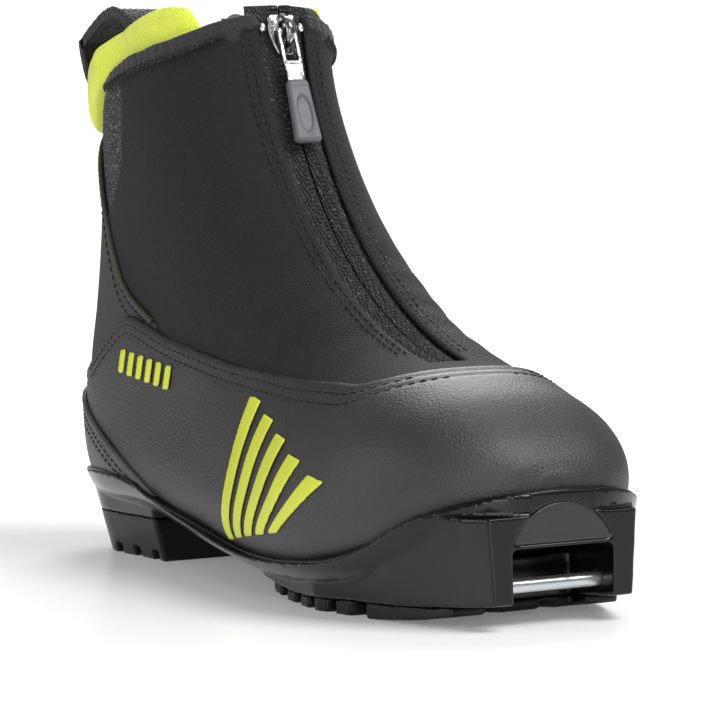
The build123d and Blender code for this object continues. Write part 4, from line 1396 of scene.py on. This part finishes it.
def stamped(outline, low, high, edge, mapping, crown=0.0, hole=None):
    """A plate with rounded edges; with a hole it becomes a frame. mapping turns (s, y, h) into space."""
    profile = [(edge, low), (edge * 0.3, low + edge * 0.3), (0.0, low + edge),
               (0.0, high - edge), (edge * 0.3, high - edge * 0.3), (edge, high)]
    count = len(outline)
    verts = []
    for inset, h in profile:
        for s, y in inward(outline, inset):
            verts.append(mapping(s, y, h))
    faces = grid_faces(len(profile), count, closed=True)
    if hole is None:
        centre = outline.mean(axis=0)
        for r, h in ((0, low), (len(profile) - 1, high)):
            rings = []
            base = inward(outline, edge)
            for share in (0.72, 0.42, 0.16):
                start = len(verts)
                for s, y in centre + (base - centre) * share:
                    verts.append(mapping(s, y, h + (crown * (1 - share ** 2) if r else 0.0)))
                rings.append(start)
            before = r * count
            for start in rings:
                for a in range(count):
                    b = (a + 1) % count
                    faces.append([before + a, before + b, start + b, start + a])
                before = start
            faces.append([before + a for a in range(count)])
    else:
        shift = int(np.argmin(np.linalg.norm(hole - outline[0], axis=1)))
        hole = np.roll(hole, -shift, axis=0)
        first = len(verts)
        for inset, h in profile:
            for s, y in inward(hole, -inset):
                verts.append(mapping(s, y, h))
        faces += grid_faces(len(profile), count, first, closed=True, flipped=True)
        for r in (0, len(profile) - 1):
            for a in range(count):
                b = (a + 1) % count
                faces.append([r * count + a, r * count + b, first + r * count + b, first + r * count + a])
    return verts, faces


# %% Slider, link and grip
shield = rounded([(-6.4, -4.9), (-6.4, 4.9), (0.5, 5.1), (6.4, 2.6), (6.4, -2.6), (0.5, -5.1)],
                 [1.6, 1.6, 2.5, 1.4, 1.4, 2.5])
plate = stamped(shield, -1.4, 0.0, 0.45, slider_point, crown=0.35)
under = stamped(shield * 0.86, -6.2, -5.2, 0.3, slider_point)
neck = stamped(rounded([(-6.2, -0.35), (-6.2, 0.35), (-3.4, 0.35), (-3.4, -0.35)], 0.2, 32), -5.4, -1.0, 0.1,
               slider_point)
bridge_line, bridge_up = [], []
for f in np.linspace(0, 1, 33):
    s = -5.3 + 9.4 * f
    h = -0.6 + 4.9 * math.sin(math.pi * f) ** 0.45
    bridge_line.append(slider_point(s, 0, h))
    bridge_up.append((0.0, 1.0, 0.0))
bridge = tube(bridge_line, bridge_up, 0.75 + 0.25 * np.sin(np.linspace(0, math.pi, 33)), sides=16, flat=1.35)
nose = blob(slider_point(-5.0, 0, 0.3), [zip_frame(SLIDER_AT)[1], (0, 1, 0), zip_frame(SLIDER_AT)[0]],
            (1.6, 2.1, 1.2))
solid_piece("zip_slider_cast", merge(plate, under, neck, bridge, nose), CHROME, "zip_metal", ("zip_slider",),
            body="slider")

link_outline = rounded([(-1.7, -3.3), (-1.7, 3.3), (9.8, 3.3), (15.0, 2.9), (19.0, 2.9), (19.0, -2.9),
                        (15.0, -2.9), (9.8, -3.3)], [1.5, 1.5, 1, 1, 1, 1, 1, 1], 128)
window = rounded([(0.9, -2.0), (0.9, 2.0), (9.3, 2.0), (9.3, -2.0)], 0.7, 128)
plate = stamped(link_outline, -0.65, 0.65, 0.22, puller_point, hole=window)
pin_line = [puller_point(0, y, 0) for y in np.linspace(-2.6, 2.6, 9)]
pin = tube(pin_line, [(0.0, 0.0, 1.0)] * 9, 0.75, sides=14)
waist_line = [puller_point(10.1, y, 0.55) for y in np.linspace(-2.9, 2.9, 9)]
waist = tube(waist_line, [(0.0, 0.0, 1.0)] * 9, 0.45, sides=10)
solid_piece("puller_link_stamped", merge(plate, pin, waist), CHROME, "zip_metal", ("puller_link",),
            body="puller")


GRIP_FIRST, GRIP_LAST, GRIP_CORNER = 15.6, 36.2, 1.5


def grip_mesh():
    """A flat moulded tab with soft edges, a sunk oval on its outer face and two ribs by the link."""
    shares = np.sin(np.linspace(-1, 1, 41) * math.pi / 2)
    bow = GRIP_CORNER * (1 - np.cos(np.linspace(0, math.pi / 2, 6)))
    middle = np.linspace(GRIP_FIRST + GRIP_CORNER, GRIP_LAST - GRIP_CORNER, 44)[1:-1]
    stations = np.concatenate([GRIP_FIRST + bow, middle, GRIP_LAST - bow[::-1]])
    face, back = [], []
    for s in stations:
        gone = max(0.0, GRIP_FIRST + GRIP_CORNER - s, s - (GRIP_LAST - GRIP_CORNER))
        drop = GRIP_CORNER - math.sqrt(max(0.0, GRIP_CORNER ** 2 - gone ** 2))
        width = 3.45 + 0.95 * ((s - GRIP_FIRST) / (GRIP_LAST - GRIP_FIRST)) ** 1.4 - drop
        thick = 1.55 - drop * 0.85
        soft = min(0.9, thick * 0.8)
        for y in shares * width:
            over = max(0.0, abs(y) - (width - soft))
            h = thick - soft + math.sqrt(max(0.0, soft ** 2 - over ** 2))
            back.append(puller_point(s, y, -h))
            oval = 1 - ((s - 27.2) / 6.6) ** 2 - (y / 2.6) ** 2
            h += 0.16 * math.exp(-(oval / 0.22) ** 2) - 0.6 * min(1.0, max(0.0, oval * 3.2))
            if s < 19.5:
                h += 0.14 * math.cos((s - 17.5) * 3.4) * max(0.0, 1 - (y / width) ** 4)
            face.append(puller_point(s, y, h))
    return np.array(face + back), slab_faces(len(stations), len(shares))


solid_piece("puller_grip_moulded", grip_mesh(), GRIP, "grip_rubber", ("puller_grip",), body="puller")

STOP_AT = SLIDER_AT - 1.15
out, down = zip_frame(STOP_AT)
stops = [blob(zip_point(STOP_AT, 1.3, y), [down, (0, 1, 0), out], (1.5, 1.1, 1.0), 10, 18)
         for y in (-6.5, 6.5)]
solid_piece("zip_top_stop_pair", merge(*stops), STOP, "stop_metal", ("zip_top_stops",))

# %% [markdown]
# The sole unit is moulded in one shot and keeps the exact shape of the CAD model. A mould has no
# knife edges, so a copy of each CAD part is remeshed at under a millimetre and relaxed a little: its
# faces stay where they were and its edges become soft enough to catch a highlight.

# %% The sole
def moulded(name, node_name, material, voxel, rounds):
    mesh = nodes[node_name].data.copy()
    mesh.materials.clear()
    mesh.materials.append(material)
    piece = bpy.data.objects.new(name, mesh)
    bpy.context.scene.collection.objects.link(piece)
    relax(piece, voxel, rounds)
    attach(piece, "boot")
    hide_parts(node_name)
    print(name, len(piece.data.vertices), "points")
    return piece


FINE = 0.6
moulded("sole_unit", "sole_plate", SOLE, FINE, 4)
moulded("heel_tread_block", "heel_tread", TREAD, FINE, 3)
moulded("forefoot_tread_blocks", "forefoot_tread", TREAD, FINE, 3)

# %% [markdown]
# The toe bar is a drawn steel pin that the binding's hook closes on. Its middle is polished by the
# hook and its ends disappear into the moulding, so it is turned with a faint waist and tiny shoulders.

# %% The toe bar and the front insert
low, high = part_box("toe_bar")
bar_x, bar_z, bar_r = (low.x + high.x) / 2, (low.z + high.z) / 2, (high.z - low.z) / 2
ys = np.linspace(low.y, high.y, 81)
share = np.abs((ys - (low.y + high.y) / 2) / ((high.y - low.y) / 2))
size = bar_r / MM * (1 - 0.03 * np.exp(-(share / 0.5) ** 2) - 0.12 * np.clip((share - 0.985) / 0.015, 0, 1)
                     - 0.04 * np.exp(-((share - 0.8) / 0.01) ** 2))
line = to_layout(np.stack([np.full(81, bar_x), ys, np.full(81, bar_z)], axis=1))
solid_piece("toe_bar_turned", tube(line, [(0.0, 0.0, 1.0)] * 81, size, sides=40), STEEL, "bar_steel",
            ("toe_bar",))
moulded("toe_insert_panel", "toe_insert", INSERT, 0.3, 3)
moulded("lace_band_webbing", "laces", WEBBING, 0.35, 3)
moulded("lace_loop_webbing", "lace_loops", WEBBING, 0.35, 3)

# %% [markdown]
# The setting is a pale floor, a large soft light high at the front right, a weaker one at the left and a
# strip behind for the top edges. The floor glows for the camera: dimly near the boot, which paints a soft
# shadow round it, and nearly white further out. To other rays it glows weakly and lights the boot from below.
# White surroundings give dark cloth its grey rims and let the moulded sole show long highlights.

# %% Floor with a painted shadow
floor_mesh = bpy.data.meshes.new("floor")
floor_mesh.from_pydata([(-6, -6, 0), (6, -6, 0), (6, 6, 0), (-6, 6, 0)], [], [(0, 1, 2, 3)])
floor = bpy.data.objects.new("floor", floor_mesh)
bpy.context.scene.collection.objects.link(floor)
floor_mat = bpy.data.materials.new("white_floor")
floor_mat.use_nodes = True
tree = floor_mat.node_tree
floor_shader = tree.nodes["Principled BSDF"]
floor_tone = add(tree, "ShaderNodeTexNoise", Scale=3.0, Detail=2.0)
tree.links.new(object_point(tree), floor_tone.inputs["Vector"])
floor_mix = add(tree, "ShaderNodeMix", data_type="RGBA")
floor_mix.inputs[6].default_value = (0.93, 0.93, 0.93, 1)
floor_mix.inputs[7].default_value = (0.96, 0.96, 0.96, 1)
tree.links.new(floor_tone.outputs["Fac"], floor_mix.inputs[0])
tree.links.new(floor_mix.outputs[2], floor_shader.inputs["Base Color"])
floor_shader.inputs["Roughness"].default_value = 0.22
floor_shader.inputs["Specular IOR Level"].default_value = 0.35
floor_shader.inputs["Emission Color"].default_value = (1, 1, 1, 1)
# Painted shadow: within 0.14 m of the middle the floor glows only 0.16 for the camera, rising to 0.95 by 0.5
# m, so the floor round the boot is darkened whatever the lights do. Other rays get a glow of 0.15, a painted
# bounce light that lights the boot from below.
ray_kind = add(tree, "ShaderNodeLightPath")
far = add(tree, "ShaderNodeVectorMath", operation="LENGTH")
tree.links.new(object_point(tree), far.inputs[0])
painted_shadow_ramp = add(tree, "ShaderNodeMapRange", interpolation_type="SMOOTHSTEP")
for label, value in (("From Min", 0.14), ("From Max", 0.5), ("To Min", 0.16), ("To Max", 0.95)):
    painted_shadow_ramp.inputs[label].default_value = value
tree.links.new(far.outputs["Value"], painted_shadow_ramp.inputs["Value"])
glow = add(tree, "ShaderNodeMix", data_type="FLOAT")
glow.inputs[2].default_value = 0.15
tree.links.new(painted_shadow_ramp.outputs[0], glow.inputs[3])
tree.links.new(ray_kind.outputs["Is Camera Ray"], glow.inputs[0])
tree.links.new(glow.outputs[0], floor_shader.inputs["Emission Strength"])
floor_mesh.materials.append(floor_mat)

# %% Lights
world = bpy.data.worlds.new("studio")
bpy.context.scene.world = world
world.use_nodes = True
wtree = world.node_tree
sky = wtree.nodes["Background"]
seen = add(wtree, "ShaderNodeLightPath")
power = add(wtree, "ShaderNodeMix", data_type="FLOAT")
power.inputs[2].default_value = 0.32
power.inputs[3].default_value = 1.1
wtree.links.new(seen.outputs["Is Camera Ray"], power.inputs[0])
wtree.links.new(power.outputs[0], sky.inputs["Strength"])
sky.inputs["Color"].default_value = (1, 1, 1, 1)


def softbox(name, where, target, size, watts):
    data = bpy.data.lights.new(name, "AREA")
    data.shape = "RECTANGLE"
    data.size, data.size_y = size
    data.energy = watts
    lamp = bpy.data.objects.new(name, data)
    lamp.location = where
    lamp.rotation_mode = "QUATERNION"
    lamp.rotation_quaternion = (Vector(target) - Vector(where)).to_track_quat("-Z", "Y")
    bpy.context.scene.collection.objects.link(lamp)
    return lamp


softbox("key", (0.75, 0.35, 1.05), (0.03, 0, 0.08), (0.7, 0.7), 16.0)
softbox("left_fill", (-0.25, -1.2, 0.5), (0, 0, 0.08), (0.9, 0.7), 5.0)
softbox("front_fill", (1.2, -0.5, 0.35), (0, 0, 0.06), (0.5, 0.6), 5.0)
softbox("back_strip", (-0.75, 0.5, 0.9), (0, 0, 0.1), (0.4, 0.9), 8.0)

# %% [markdown]
# The camera stands low in front of the outer side, about ninety centimetres away with a long lens, so
# the boot keeps its proportions and both its side and its toe are in view.

# %% Camera
YAW, PITCH, ROLL = math.radians(151.03), math.radians(-3.04), math.radians(-1.152)
look = Vector((math.cos(PITCH) * math.cos(YAW), math.cos(PITCH) * math.sin(YAW), math.sin(PITCH)))
level = look.cross(Vector((0, 0, 1))).normalized()
upright = level.cross(look)
right = level * math.cos(ROLL) + upright * math.sin(ROLL)
up = upright * math.cos(ROLL) - level * math.sin(ROLL)
camera_data = bpy.data.cameras.new("camera")
camera_data.lens = 147.7
camera_data.sensor_width = 36.0
camera_data.clip_start = 0.02
camera_data.clip_end = 60.0
camera = bpy.data.objects.new("camera", camera_data)
bpy.context.scene.collection.objects.link(camera)
camera.matrix_world = Matrix(((right.x, up.x, -look.x, 0.79222), (right.y, up.y, -look.y, -0.41917),
                              (right.z, up.z, -look.z, 0.11267), (0, 0, 0, 1)))
bpy.context.scene.camera = camera
bpy.context.scene.view_settings.view_transform = "Standard"
bpy.context.scene.view_settings.look = "None"
